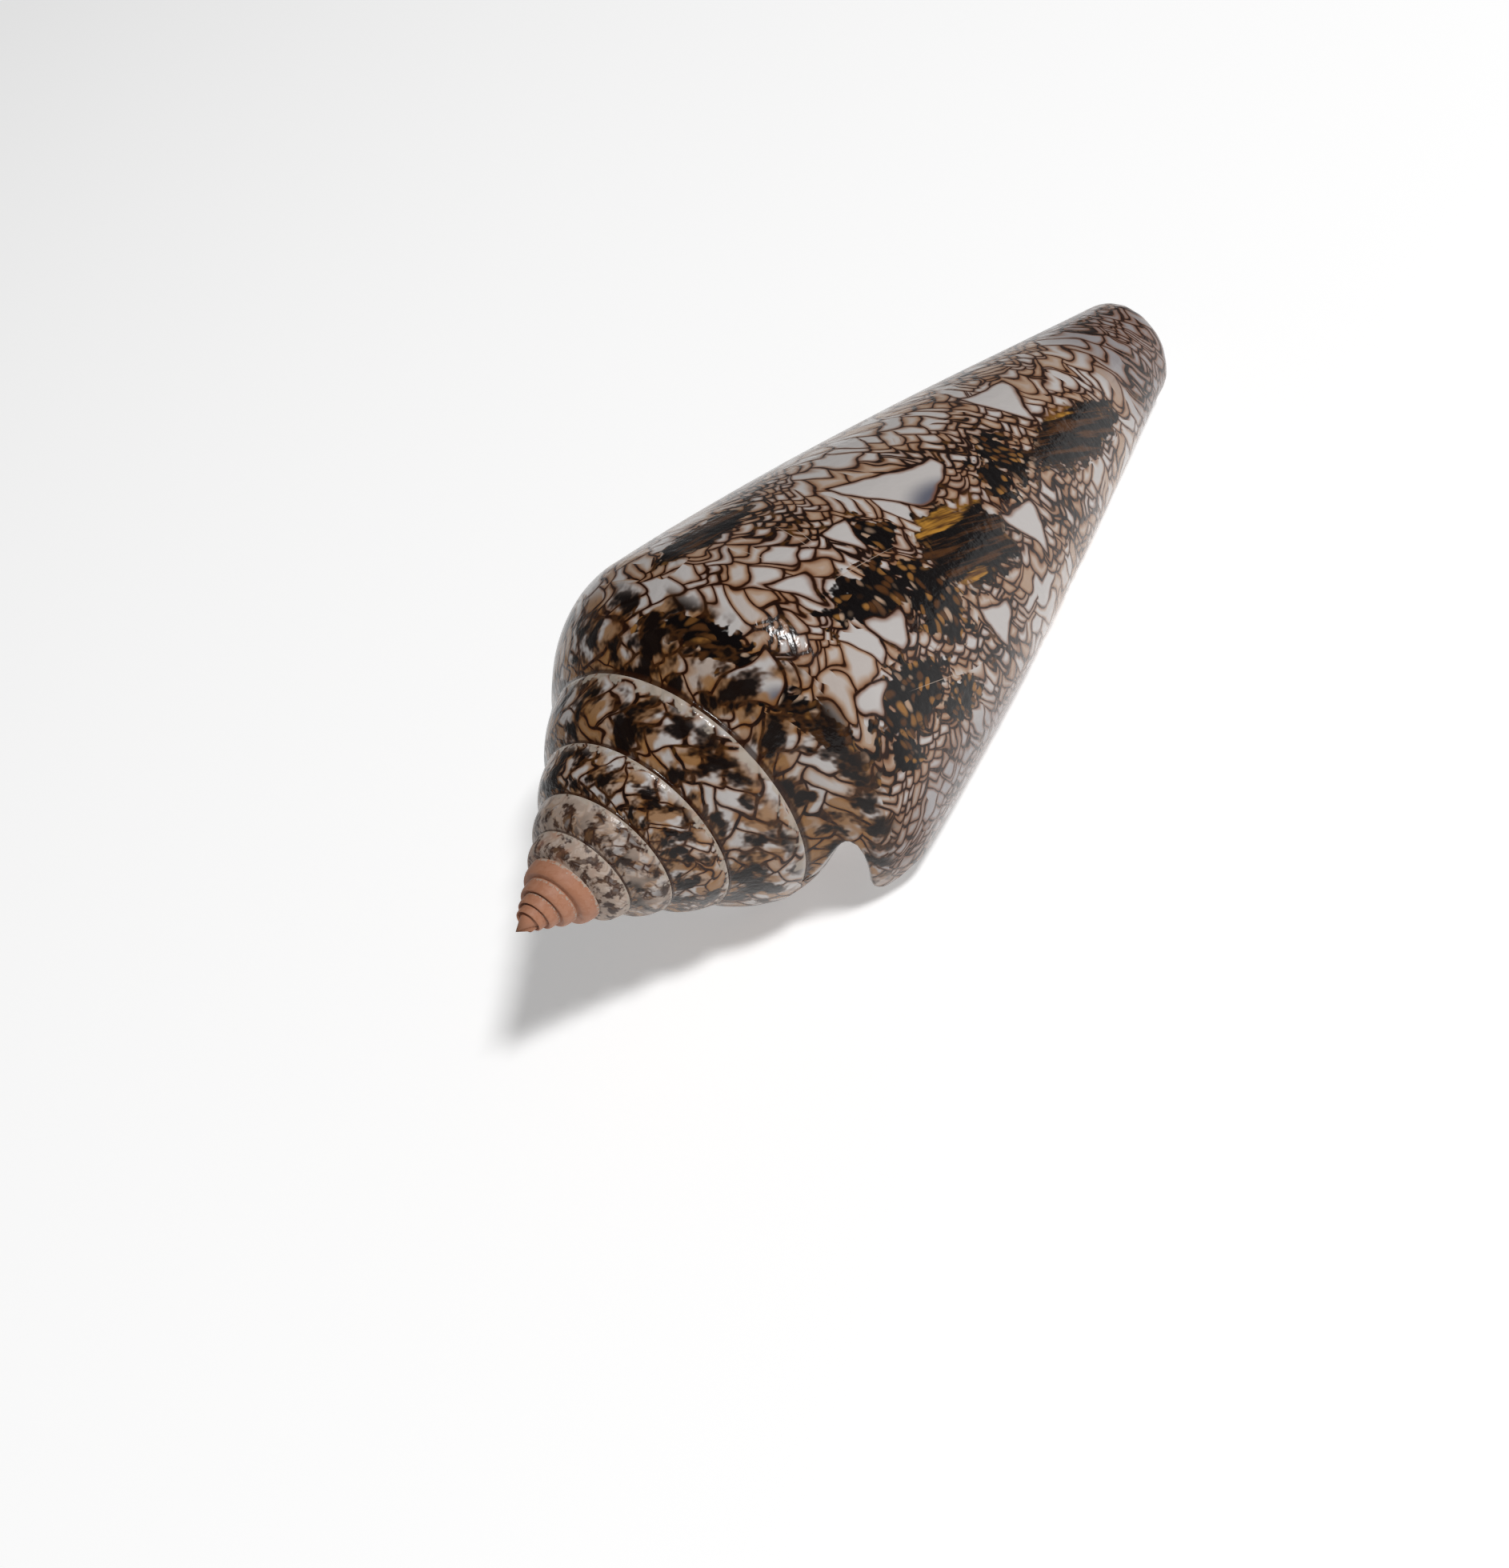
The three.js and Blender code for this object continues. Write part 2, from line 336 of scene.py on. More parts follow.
    def swing(self, part: Part, turn: Array, v: Array) -> Array:
        """The angle by which a point near the lip is ahead of its stage, in turns."""
        outside = OUTSIDE_OF.get(part, part)
        share = np.maximum(0, 1 + turn / self.sinus_turns) ** 2
        radius = np.maximum(self.section(outside, turn, v)[..., 1], self.least_radius)
        return share * self.lead(outside, v) / radius / TURN

    def place(self, part: Part, turn: Array, v: Array) -> Array:
        """Points about the shell's own axis, apex at the origin, in millimetres."""
        section = self.section(part, turn, v)
        angle = math.radians(self.lip_angle) + TURN * (turn + self.swing(part, turn, v))
        radius = section[..., 1]
        return np.stack([section[..., 0], radius * np.cos(angle), radius * np.sin(angle)], -1)


@dataclass(frozen=True)
class MantleMap:
    """The two layouts of the surface that the markings are drawn in."""

    growth: Growth
    steps: int = 24
    middle: float = -0.5
    ramp_blend: float = 2.0
    lean: float = 0.15
    near_level: float = 1e-4
    least_radius: float = 0.01
    least_coil_radius: float = 0.05

    def run(self, part: Part, turn: Array, start: Array, end: Array) -> Array:
        """The length of a growth line between two places across one part, in millimetres."""
        shares = np.linspace(0, 1, self.steps + 1)
        points = [self.growth.section(part, turn, start + (end - start) * s) for s in shares]
        return sum(np.linalg.norm(b - a, axis=-1) for a, b in zip(points, points[1:]))

    def across(self, part: Part, turn: Array, v: Array) -> Array:
        """Distance from the crest of the shoulder along the growth line, negative on the ramp.

        Args:
            part: which part of the growth line.
            turn: stage of growth of each point.
            v: place across the part, 0 to 1.

        Returns:
            The distance of each point, in millimetres.
        """
        half, none, full = 0 * v + 0.5, 0 * v, 0 * v + 1
        if part is Part.STEP:
            return -self.growth.suture_step * (1 - v) + self.across(Part.RAMP, turn, none)
        if part is Part.RAMP:
            return -self.run(part, turn, v, full) - self.run(Part.SHOULDER, turn, none, half)
        if part is Part.SHOULDER:
            return np.sign(v - 0.5) * self.run(part, turn, half, v)
        if part is Part.FLANK:
            return self.run(part, turn, none, v) + self.run(Part.SHOULDER, turn, half, full)
        return self.run(part, turn, none, v) + self.across(Part.FLANK, turn, full)

    def mantle(self, part: Part, turn: Array, v: Array) -> Array:
        """Distance along the spiral from the middle of the body whorl, and across it.

        On the ramp the first follows the growth lines. Before the body whorl both are
        measured against the size of the whorl, so that the markings shrink with it.

        Args:
            part: which part of the growth line.
            turn: stage of growth of each point.
            v: place across the part.

        Returns:
            Both distances in millimetres.
        """
        growth = self.growth
        across = self.across(part, turn, v)
        late = np.maximum(turn, -1)
        size = growth.radius_ratio ** (turn - late)
        middle = 0 * turn + self.middle
        on_flank = across > 0

        def radius_at(stage: Array) -> Array:
            """The radius of the flank at the place, or of the crest for a place on the ramp."""
            own, crest = growth.section(part, stage, v)[..., 1], growth.crest(stage)[..., 1]
            return np.where(on_flank, own, crest)

        radius, radius_then = radius_at(late), radius_at(middle)
        least = self.least_radius
        ratio = np.maximum(radius, least) / np.maximum(radius_then, least)
        level = np.abs(ratio - 1) < self.near_level
        mean = np.where(level, radius, (radius - radius_then) / np.log(np.where(level, 2, ratio)))
        ahead = growth.swing(part, turn, v)
        along = TURN * (mean * (late + ahead - self.middle) + radius * (turn - late))
        on_ramp = smooth(-across / size / self.ramp_blend)
        return np.stack([along - self.lean * growth.lead(part, v) * on_ramp, across / size], -1)

    def coil(self, part: Part, turn: Array, v: Array) -> Array:
        """The stage of growth at each point, and its place from suture, 0, to crest, 1.

        Args:
            part: which part of the growth line.
            turn: stage of growth of each point.
            v: place across the part, 0 to 1.

        Returns:
            Both numbers for each point.
        """
        corner = self.growth.shoulder_curve(turn)[1][..., 1]
        radius = np.maximum(self.growth.section(part, turn, v)[..., 1], self.least_coil_radius)
        lead = self.growth.lead(part, v) * corner / self.growth.shoulder_radius
        ahead = self.growth.swing(part, turn, v) - lead / radius / TURN
        whole = -self.across(Part.RAMP, turn, 0 * v)
        return np.stack([turn + ahead, 1 + self.across(part, turn, v) / whole], -1)


@dataclass(frozen=True)
class Sheet:
    """What one part of the growth line sweeps out between two stages of growth."""

    part: Part
    start: float
    end: float
    rows: int
    low: float = 0.0
    high: float = 1.0
    inside: float = 0.0


@dataclass(frozen=True)
class Strip:
    """A flat or rounded strip between two lines across the same number of rows.

    Each line is a part, a stage and the places where it starts and ends. A round strip
    bulges forward by a share of its width.
    """

    near: tuple[Part, float, float, float]
    far: tuple[Part, float, float, float]
    rows: int
    columns: int = 1
    bulge: float = 0.0
    inside: tuple[float, float] = (0.0, 1.0)


@dataclass
class ConeShell:
    """The shell: spire, body whorl, lip, aperture and the channel behind it."""

    growth: Growth
    spire_turns: int = 9
    per_turn: int = 200
    step_rows: int = 2
    ramp_rows: int = 8
    shoulder_rows: int = 9
    past_rows: int = 6
    flank_rows: int = 56
    front_rows: int = 6
    tip_rows: int = 5
    lip_columns: int = 6
    lip_bulge: float = 0.5
    channel_turns: float = 0.8
    rest_dip: float = 8.3
    rest_roll: float = 130.4
    merge_distance: float = 1e-3
    ridge: float = 0.22
    ridge_at: float = 0.94
    ridge_width: float = 0.06
    chip_scale: float = 0.9
    worn_from: float = -0.85
    worn_blend: float = 0.2
    groove: float = 0.12
    groove_width: float = 0.06
    waves: float = 0.05
    wave_count: float = 30.0
    wave_stretch: float = 0.5
    outside_up_to: float = 0.001

    def __post_init__(self) -> None:
        """Prepares the empty mesh and the layouts of its surface."""
        self.map = MantleMap(self.growth)
        self.bm = bmesh.new()
        names = ("mantle", "coil", "zone")
        self.layers = [self.bm.loops.layers.uv.new(name) for name in names]

    def sheets(self) -> list[Sheet]:
        """Every sheet that a part of the growth line sweeps out.

        Returns:
            The outside first, then the channel.
        """
        start, end = -float(self.spire_turns), -self.channel_turns
        mid, corner = 0.5, self.growth.inner_corner_at
        outside = [
            Sheet(Part.STEP, start, 0, self.step_rows),
            Sheet(Part.RAMP, start, 0, self.ramp_rows),
            Sheet(Part.SHOULDER, start, 0, self.shoulder_rows, 0, mid),
            Sheet(Part.SHOULDER, -1, 0, self.past_rows, mid, 1),
            Sheet(Part.FLANK, -1, 0, self.flank_rows),
            Sheet(Part.FRONT_FACE, -1, end, self.front_rows),
            Sheet(Part.FRONT_RIM, end, 0, self.front_rows),
            Sheet(Part.TIP, -2, -1, self.tip_rows, inside=1),
        ]
        channel = [
            Sheet(Part.UNDER_RAMP, 0, end, self.ramp_rows, inside=1),
            Sheet(Part.UNDER_SHOULDER, 0, end, self.shoulder_rows, 0, mid, inside=1),
            Sheet(Part.UNDER_SHOULDER, 0, end, self.past_rows, mid, 1, inside=1),
            Sheet(Part.UNDER_FLANK, 0, end, self.flank_rows, inside=1),
            Sheet(Part.SHOULDER, end - 1, -1, self.past_rows // 2, corner, 1, inside=-1),
            Sheet(Part.FLANK, end - 1, -1, self.flank_rows, inside=-1),
        ]
        return outside + channel

    def strips(self) -> list[Strip]:
        """The lip's rounded edge, the flat end of the channel and the small closing faces.

        Returns:
            The strips, from the lip inwards.
        """
        mid, corner = 0.5, self.growth.inner_corner_at
        last, end = -1.0, -self.channel_turns
        half = self.past_rows // 2
        lip, soft = self.lip_columns, self.lip_bulge
        inner, outer = (1, 1), (0, 0)
        ramp, shoulder, flank = Part.UNDER_RAMP, Part.UNDER_SHOULDER, Part.UNDER_FLANK
        knot = (Part.SHOULDER, last, corner, corner)
        inmost = (ramp, end, 0, 0)
        front = Part.FRONT_FACE
        edges = [
            (ramp, 0, 1, self.ramp_rows),
            (shoulder, 0, mid, self.shoulder_rows),
            (shoulder, mid, 1, self.past_rows),
            (flank, 0, 1, self.flank_rows),
        ]
        rounded = [
            Strip((OUTSIDE_OF[part], 0, low, high), (part, 0, low, high), rows, lip, soft)
            for part, low, high, rows in edges
        ]
        back_wall = [
            Strip((part, end, low, high), inmost, rows, inside=inner)
            for part, low, high, rows in edges[:3]
        ]
        return [
            Strip((Part.STEP, 0, 0, 1), knot, self.step_rows),
            Strip((Part.SHOULDER, last, mid, corner), knot, half),
            *rounded,
            Strip((Part.FRONT_RIM, 0, 0, 1), (flank, 0, 1, 1), self.front_rows),
            *back_wall,
            Strip((shoulder, end, 1, 1), (Part.SHOULDER, end - 1, corner, 1), half, inside=inner),
            Strip((flank, end, 0, 1), (Part.FLANK, end - 1, 0, 1), self.flank_rows, inside=inner),
            Strip((front, end, 0, 1), (Part.FRONT_RIM, end, 0, 1), self.front_rows, inside=outer),
            Strip((Part.TIP, -1, 0, 1), (Part.TIP, -2, 0, 1), self.tip_rows, inside=inner),
            Strip((front, last, 1, 1), (front, last, 0, 1), self.front_rows, inside=outer),
        ]

    def add_grid(self, columns: int, rows: int, lay: Lay) -> None:
        """Adds a grid of faces and lays it on the surface.

        Args:
            columns: faces along the growth.
            rows: faces across it.
            lay: gives the places and the three layouts of points from their shares, 0 to 1.
        """
        grid = bmesh.ops.create_grid(self.bm, x_segments=columns, y_segments=rows, size=0.5)
        made = grid["verts"]
        flat = np.array([v.co[:2] for v in made]) + 0.5
        count = np.array([columns, rows])
        shares = np.rint(flat * count) / count
        places, layouts = lay(shares[:, 0], shares[:, 1])
        row_of = {v: i for i, v in enumerate(made)}
        for v, place in zip(made, places.tolist()):
            v.co = place
        values = [layout.tolist() for layout in layouts]
        for face in {f for v in made for f in v.link_faces}:
            for loop in face.loops:
                i = row_of[loop.vert]
                for layer, layout in zip(self.layers, values):
                    loop[layer].uv = layout[i]

    def add_sheet(self, sheet: Sheet) -> None:
        """Sweeps one part of the growth line.

        Args:
            sheet: the part, and the stages between which it sweeps.
        """
        part = sheet.part

        def lay(u: Array, v: Array) -> tuple[Array, Array]:
            """Places and layouts of points of the sheet.

            Args:
                u: shares along the growth, 0 to 1.
                v: shares across it, 0 to 1.

            Returns:
                The places, and one array for each layout.
            """
            turn = sheet.start + (sheet.end - sheet.start) * u
            across = sheet.low + (sheet.high - sheet.low) * v
            outside = OUTSIDE_OF.get(part, part)
            depth = -1 - turn if sheet.inside < 0 else 0 * turn + sheet.inside
            layouts = [
                self.map.mantle(outside, turn, across),
                self.map.coil(outside, turn, across),
                np.stack([depth, 0 * depth], -1),
            ]
            return self.growth.place(part, turn, across), layouts

        columns = round(abs(sheet.end - sheet.start) * self.per_turn)
        self.add_grid(columns, sheet.rows, lay)

    def add_strip(self, strip: Strip) -> None:
        """Fills between two lines, with a rounded edge where the strip bulges.

        Args:
            strip: the two lines and what lies between them.
        """

        def line(ends: tuple[Part, float, float, float], v: Array) -> tuple[Array, Array, Array]:
            """Places and layouts of points of one line.

            Args:
                ends: the part, the stage, and where the line starts and ends.
                v: shares along the line, 0 to 1.

            Returns:
                The places, the mantle layout and the coil layout.
            """
            part, turn, low, high = ends
            stage, across = 0 * v + turn, low + (high - low) * v
            outside = OUTSIDE_OF.get(part, part)
            layouts = (self.map.mantle, self.map.coil)
            mantle, coil = (layout(outside, stage, across) for layout in layouts)
            return self.growth.place(part, stage, across), mantle, coil

        def lay(u: Array, v: Array) -> tuple[Array, Array]:
            """Places and layouts of points of the strip.

            Args:
                u: shares along the growth, 0 to 1.
                v: shares across it, 0 to 1.

            Returns:
                The places, and one array for each layout.
            """
            near, far = line(strip.near, v), line(strip.far, v)
            place = blend(near[0], far[0], u)
            width = np.linalg.norm(far[0] - near[0], axis=-1)
            onward = np.stack([0 * v, -place[:, 2], place[:, 1]], -1)
            onward /= np.maximum(np.linalg.norm(onward, axis=-1, keepdims=True), 1e-9)
            round_off = strip.bulge * width * np.sin(math.pi * u)
            inside = strip.inside[0] + (strip.inside[1] - strip.inside[0]) * u
            place = place + onward * round_off[:, None]
            return place, [near[1], near[2], np.stack([inside, 0 * u], -1)]

        self.add_grid(strip.columns, strip.rows, lay)

    def add_apex(self) -> None:
        """Closes the tip of the spire with a small cone."""
        start = -float(self.spire_turns)

        def to_apex(part: Part, low: float, high: float) -> Lay:
            """A fan from the apex to one line at the first stage.

            Args:
                part: the part that the line is on.
                low: where the line starts.
                high: where the line ends.

            Returns:
                What lays the fan.
            """

            def lay(u: Array, v: Array) -> tuple[Array, Array]:
                """Places and layouts of points of the fan."""
                stage, across = 0 * v + start, low + (high - low) * v
                place = self.growth.place(part, stage, across) * u[:, None]
                coil = self.map.coil(part, stage, across)
                return place, [0 * coil, coil, 0 * coil]

            return lay

        def cone(u: Array, v: Array) -> tuple[Array, Array]:
            """Places and layouts of points of the cone inside the first whorl."""
            stage = start + u
            place = self.growth.place(Part.STEP, stage, 0 * u) * v[:, None]
            coil = np.stack([stage - 1, 0 * v + 0.5], -1)
            return place, [0 * coil, coil, 0 * coil]

        self.add_grid(self.per_turn, 1, cone)
        self.add_grid(1, self.step_rows, to_apex(Part.STEP, 0, 1))
        self.add_grid(1, self.ramp_rows, to_apex(Part.RAMP, 0, 1))
        self.add_grid(1, self.shoulder_rows, to_apex(Part.SHOULDER, 0, 0.5))

    def close_gaps(self) -> None:
        """Fills the gaps where the lip's rounded edge meets its flat neighbours."""
        gaps = [edge for edge in self.bm.edges if edge.is_boundary]
        for face in bmesh.ops.holes_fill(self.bm, edges=gaps, sides=0)["faces"]:
            for loop in face.loops:
                beside = next(other for other in loop.vert.link_loops if other.face is not face)
                for layer in self.layers:
                    loop[layer].uv = beside[layer].uv

    def relief(self, stage: float, share: float, place: Vector) -> float:
        """How far the surface stands out at a place, in millimetres.

        Args:
            stage: the stage of growth.
            share: the place from suture, 0, to crest, 1.
            place: the point itself.

        Returns:
            The height of the worn crest, the groove of the suture and the faint growth waves.
        """
        size = self.growth.radius_ratio ** min(stage, 0.0)
        worn = min(max((self.worn_from - stage) / self.worn_blend, 0.0), 1.0)
        chips = 0.5 + noise.noise(place * (self.chip_scale / size))
        off_ridge = (share - self.ridge_at) / self.ridge_width
        ridge = self.ridge * worn * chips * math.exp(-(off_ridge**2))
        groove = self.groove * worn * max(1 - abs(share) / self.groove_width, 0.0)
        along = Vector((stage * self.wave_count, share * self.wave_stretch, 0.0))
        waves = self.waves * noise.noise(along)
        return size * (ridge - groove + waves)

    def raise_relief(self) -> None:
        """Moves the points of the outside by the relief."""
        self.bm.normal_update()
        coil, zone = self.layers[1:]
        moves = []
        for vert in self.bm.verts:
            loops = vert.link_loops
            if any(abs(loop[zone].uv.x) > self.outside_up_to for loop in loops):
                continue
            heights = [self.relief(*loop[coil].uv, vert.co) for loop in loops]
            moves.append((vert, vert.normal * (sum(heights) / len(heights))))
        for vert, move in moves:
            vert.co += move

    def lay_down(self) -> None:
        """Lays the shell on its lip, in the place that the frame gives, in metres."""
        turned = Matrix.Rotation(math.radians(self.rest_dip), 4, "Y") @ Matrix.Rotation(
            math.radians(self.rest_roll - self.growth.lip_angle + 90), 4, "X"
        )
        bmesh.ops.transform(self.bm, matrix=Matrix.Scale(MM, 4) @ turned, verts=self.bm.verts)
        low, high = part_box("shell")
        places = np.array([v.co for v in self.bm.verts])
        own_low, own_high = Vector(places.min(0)), Vector(places.max(0))
        shift = (low + high) / 2 - (own_low + own_high) / 2
        shift.z = low.z - own_low.z
        bmesh.ops.translate(self.bm, vec=shift, verts=self.bm.verts)

    def build(self) -> bpy.types.Object:
        """Builds the shell.

        Returns:
            The shell as one closed mesh object at the origin.
        """
        self.add_apex()
        for sheet in self.sheets():
            self.add_sheet(sheet)
        for strip in self.strips():
            self.add_strip(strip)
        bmesh.ops.remove_doubles(self.bm, verts=self.bm.verts, dist=self.merge_distance)
        bmesh.ops.dissolve_degenerate(self.bm, edges=self.bm.edges, dist=self.merge_distance)
        self.close_gaps()
        bmesh.ops.recalc_face_normals(self.bm, faces=self.bm.faces)
        self.raise_relief()
        self.lay_down()
        for face in self.bm.faces:
            face.smooth = True
        open_edges = sum(1 for e in self.bm.edges if len(e.link_faces) != 2)
        log.info("shell: %d faces, %d edges not closed", len(self.bm.faces), open_edges)
        mesh = bpy.data.meshes.new("shell_surface")
        self.bm.to_mesh(mesh)
        self.bm.free()
        shell = bpy.data.objects.new("cone_shell", mesh)
        bpy.context.scene.collection.objects.link(shell)
        return shell


class Wire:
    """One value in a material. Arithmetic on it adds Math nodes."""

    def __init__(self, bench: "Bench", socket: bpy.types.NodeSocket) -> None:
        """Holds the socket and the bench that adds nodes to it."""
        self.bench = bench
        self.socket = socket

    def __add__(self, other: Value) -> "Wire":
        """Sum."""
        return self.bench.math("ADD", self, other)

    def __radd__(self, other: Value) -> "Wire":
        """Sum."""
        return self.bench.math("ADD", other, self)

    def __sub__(self, other: Value) -> "Wire":
        """Difference."""
        return self.bench.math("SUBTRACT", self, other)

    def __rsub__(self, other: Value) -> "Wire":
        """Difference."""
        return self.bench.math("SUBTRACT", other, self)

    def __mul__(self, other: Value) -> "Wire":
        """Product."""
        return self.bench.math("MULTIPLY", self, other)

    def __rmul__(self, other: Value) -> "Wire":
        """Product."""
        return self.bench.math("MULTIPLY", other, self)

    def __truediv__(self, other: Value) -> "Wire":
        """Quotient."""
        return self.bench.math("DIVIDE", self, other)

    def __rtruediv__(self, other: Value) -> "Wire":
        """Quotient."""
        return self.bench.math("DIVIDE", other, self)

    def __lt__(self, other: Value) -> "Wire":
        """1 where this value is the smaller."""
        return self.bench.math("LESS_THAN", self, other)

    def __gt__(self, other: Value) -> "Wire":
        """1 where this value is the larger."""
        return self.bench.math("GREATER_THAN", self, other)

    def __abs__(self) -> "Wire":
        """Size without its sign."""
        return self.bench.math("ABSOLUTE", self)


Value = Union[Wire, float]
Triple = Union[Wire, tuple[float, float, float]]
Colour = tuple[float, float, float]
# The numbers of one call of rise, fall or noise: the ends of a change, or scale and detail.
Band = tuple[float, ...]
# How far inside a shape a place is when it is far outside every shape.
NOWHERE = -9.0


class Bench:
    """One node tree being built."""

    def __init__(self, tree: bpy.types.NodeTree) -> None:
        """Empties the tree of a material or of the surroundings."""
        self.tree = tree
        self.tree.nodes.clear()

    @classmethod
    def for_material(cls, name: str) -> tuple[bpy.types.Material, "Bench"]:
        """A new material and its bench."""
        material = bpy.data.materials.new(name)
        material.use_nodes = True
        return material, cls(material.node_tree)

    def node(
        self, kind: str, settings: dict[str, object], sockets: dict[Union[str, int], object]
    ) -> bpy.types.Node:
        """Adds one node.

        Args:
            kind: the node's type.
            settings: its settings, which are set first.
            sockets: values or wires for its inputs, by name or number.

        Returns:
            The node.
        """
        made = self.tree.nodes.new(kind)
        for key, value in settings.items():
            setattr(made, key, value)
        for key, value in sockets.items():
            if isinstance(value, Wire):
                self.tree.links.new(value.socket, made.inputs[key])
            else:
                made.inputs[key].default_value = value
        return made

    def wire(self, made: bpy.types.Node, output: Union[str, int] = 0) -> Wire:
        """One output of a node."""
        return Wire(self, made.outputs[output])

    def math(self, operation: str, *values: Value) -> Wire:
        """A sum on numbers."""
        made = self.node("ShaderNodeMath", {"operation": operation}, dict(enumerate(values)))
        return self.wire(made)

    def most(self, a: Value, b: Value) -> Wire:
        """The larger of two numbers."""
        return self.math("MAXIMUM", a, b)

    def fused(self, a: Value, b: Value, c: Value) -> Wire:
        """a times b, plus c."""
        return self.math("MULTIPLY_ADD", a, b, c)

    def vector(self, operation: str, *values: Triple) -> Wire:
        """A sum on triples."""
        made = self.node("ShaderNodeVectorMath", {"operation": operation}, dict(enumerate(values)))
        return self.wire(made, "Value" if operation == "LENGTH" else "Vector")

    def split(self, triple: Wire) -> list[Wire]:
        """The three numbers of a triple."""
        made = self.node("ShaderNodeSeparateXYZ", {}, {0: triple})
        return [self.wire(made, i) for i in range(3)]

    def join(self, x: Value, y: Value) -> Wire:
        """A triple from two numbers."""
        return self.wire(self.node("ShaderNodeCombineXYZ", {}, {0: x, 1: y}))

    def choose(self, share: Value, a: Value, b: Value) -> Wire:
        """a where the share is 0, b where it is 1."""
        made = self.node("ShaderNodeMix", {"data_type": "FLOAT"}, {0: share, 2: a, 3: b})
        return self.wire(made, 0)

    def tint(self, share: Value, a: Union[Wire, Colour], b: Union[Wire, Colour]) -> Wire:
        """A colour from a to b."""
        a, b = (c if isinstance(c, Wire) else (*c, 1.0) for c in (a, b))
        made = self.node("ShaderNodeMix", {"data_type": "RGBA"}, {0: share, 6: a, 7: b})
        return self.wire(made, 2)

    def slide(self, value: Value, low: float, high: float, first: float, last: float) -> Wire:
        """The first number up to the low end, the last from the high end, smooth between."""
        sockets = {0: value, 1: low, 2: high, 3: first, 4: last}
        settings = {"interpolation_type": "SMOOTHSTEP"}
        return self.wire(self.node("ShaderNodeMapRange", settings, sockets))

    def rise(self, value: Value, low: float, high: float, top: float = 1.0) -> Wire:
        """0 up to the low end, the top from the high end, and a smooth rise between."""
        return self.slide(value, low, high, 0.0, top)

    def fall(self, value: Value, low: float, high: float) -> Wire:
        """1 up to the low end, 0 from the high end."""
        return self.slide(value, low, high, 1.0, 0.0)

    def noise_node(
        self, place: Wire, scale: float, detail: float, roughness: float = 0.5
    ) -> bpy.types.Node:
        """Cloudy noise over the first two numbers of a place."""
        sockets = {"Vector": place, "Scale": scale, "Detail": detail, "Roughness": roughness}
        return self.node("ShaderNodeTexNoise", {"noise_dimensions": "2D"}, sockets)

    def noise(self, place: Wire, scale: float, detail: float = 2.0, roughness: float = 0.5) -> Wire:
        """The value of cloudy noise, about 0.5."""
        return self.wire(self.noise_node(place, scale, detail, roughness), "Fac")

    def layout(self, name: str) -> Wire:
        """One layout of the shell's surface."""
        return self.wire(self.node("ShaderNodeUVMap", {"uv_map": name}, {}))


@dataclass(frozen=True)
class TentReading:
    """What the net says at a place: how far the nearest line is, and its own tent's tip."""

    edge: Wire
    tip: Wire


@dataclass(frozen=True)
class TipGrid:
    """A scattered grid of tent tips; a clustered one has tips only where a slow noise is high."""

    length: float
    width: float
    seed: float
    rows: tuple[int, ...]
    columns: tuple[int, ...] = (-1, 0, 1)
    scatter: float = 0.75
    hash_step: float = 157.0
    clustered: bool = False

    def tips(self, bench: Bench, place: Wire, reach: float) -> list[tuple[Wire, Wire]]:
        """The tips around a place.

        Args:
            bench: the material.
            place: the place on the mantle, in millimetres.
            reach: what is added to how far ahead each tip lies.

        Returns:
            How far ahead and aside of the place each tip lies.
        """
        length, width = self.length, self.width
        along, across, _ = bench.split(place)
        row_of = bench.math("FLOOR", along * (1 / length))
        column_of = bench.math("FLOOR", across * (1 / width))
        seat = bench.fused(column_of, self.hash_step, row_of + self.seed)
        to_row, to_column = row_of * length - along, column_of * width - across
        middle = 0.5 - 0.5 * self.scatter
        odd = bench.math("PINGPONG", column_of, 1.0)
        shift = (odd * (0.5 * length), (1.0 - odd) * (0.5 * length))
        lines_on = {c: to_column + (c + middle) * width for c in self.columns}
        found = []
        for row in self.rows:
            row_start = to_row + ((row + middle) * length + reach)
            rows_on = [row_start + part for part in shift]
            for column in self.columns:
                row_on = rows_on[column % 2]
                own_seat = {"W": seat + (row + column * self.hash_step)}
                dice = bench.node("ShaderNodeTexWhiteNoise", {"noise_dimensions": "1D"}, own_seat)
                throws = bench.node("ShaderNodeSeparateColor", {}, {0: bench.wire(dice, "Color")})
                ahead = bench.fused(bench.wire(throws, 0), self.scatter * length, row_on)
                aside = bench.fused(bench.wire(throws, 1), self.scatter * width, lines_on[column])
                found.append((ahead, aside))
        return found


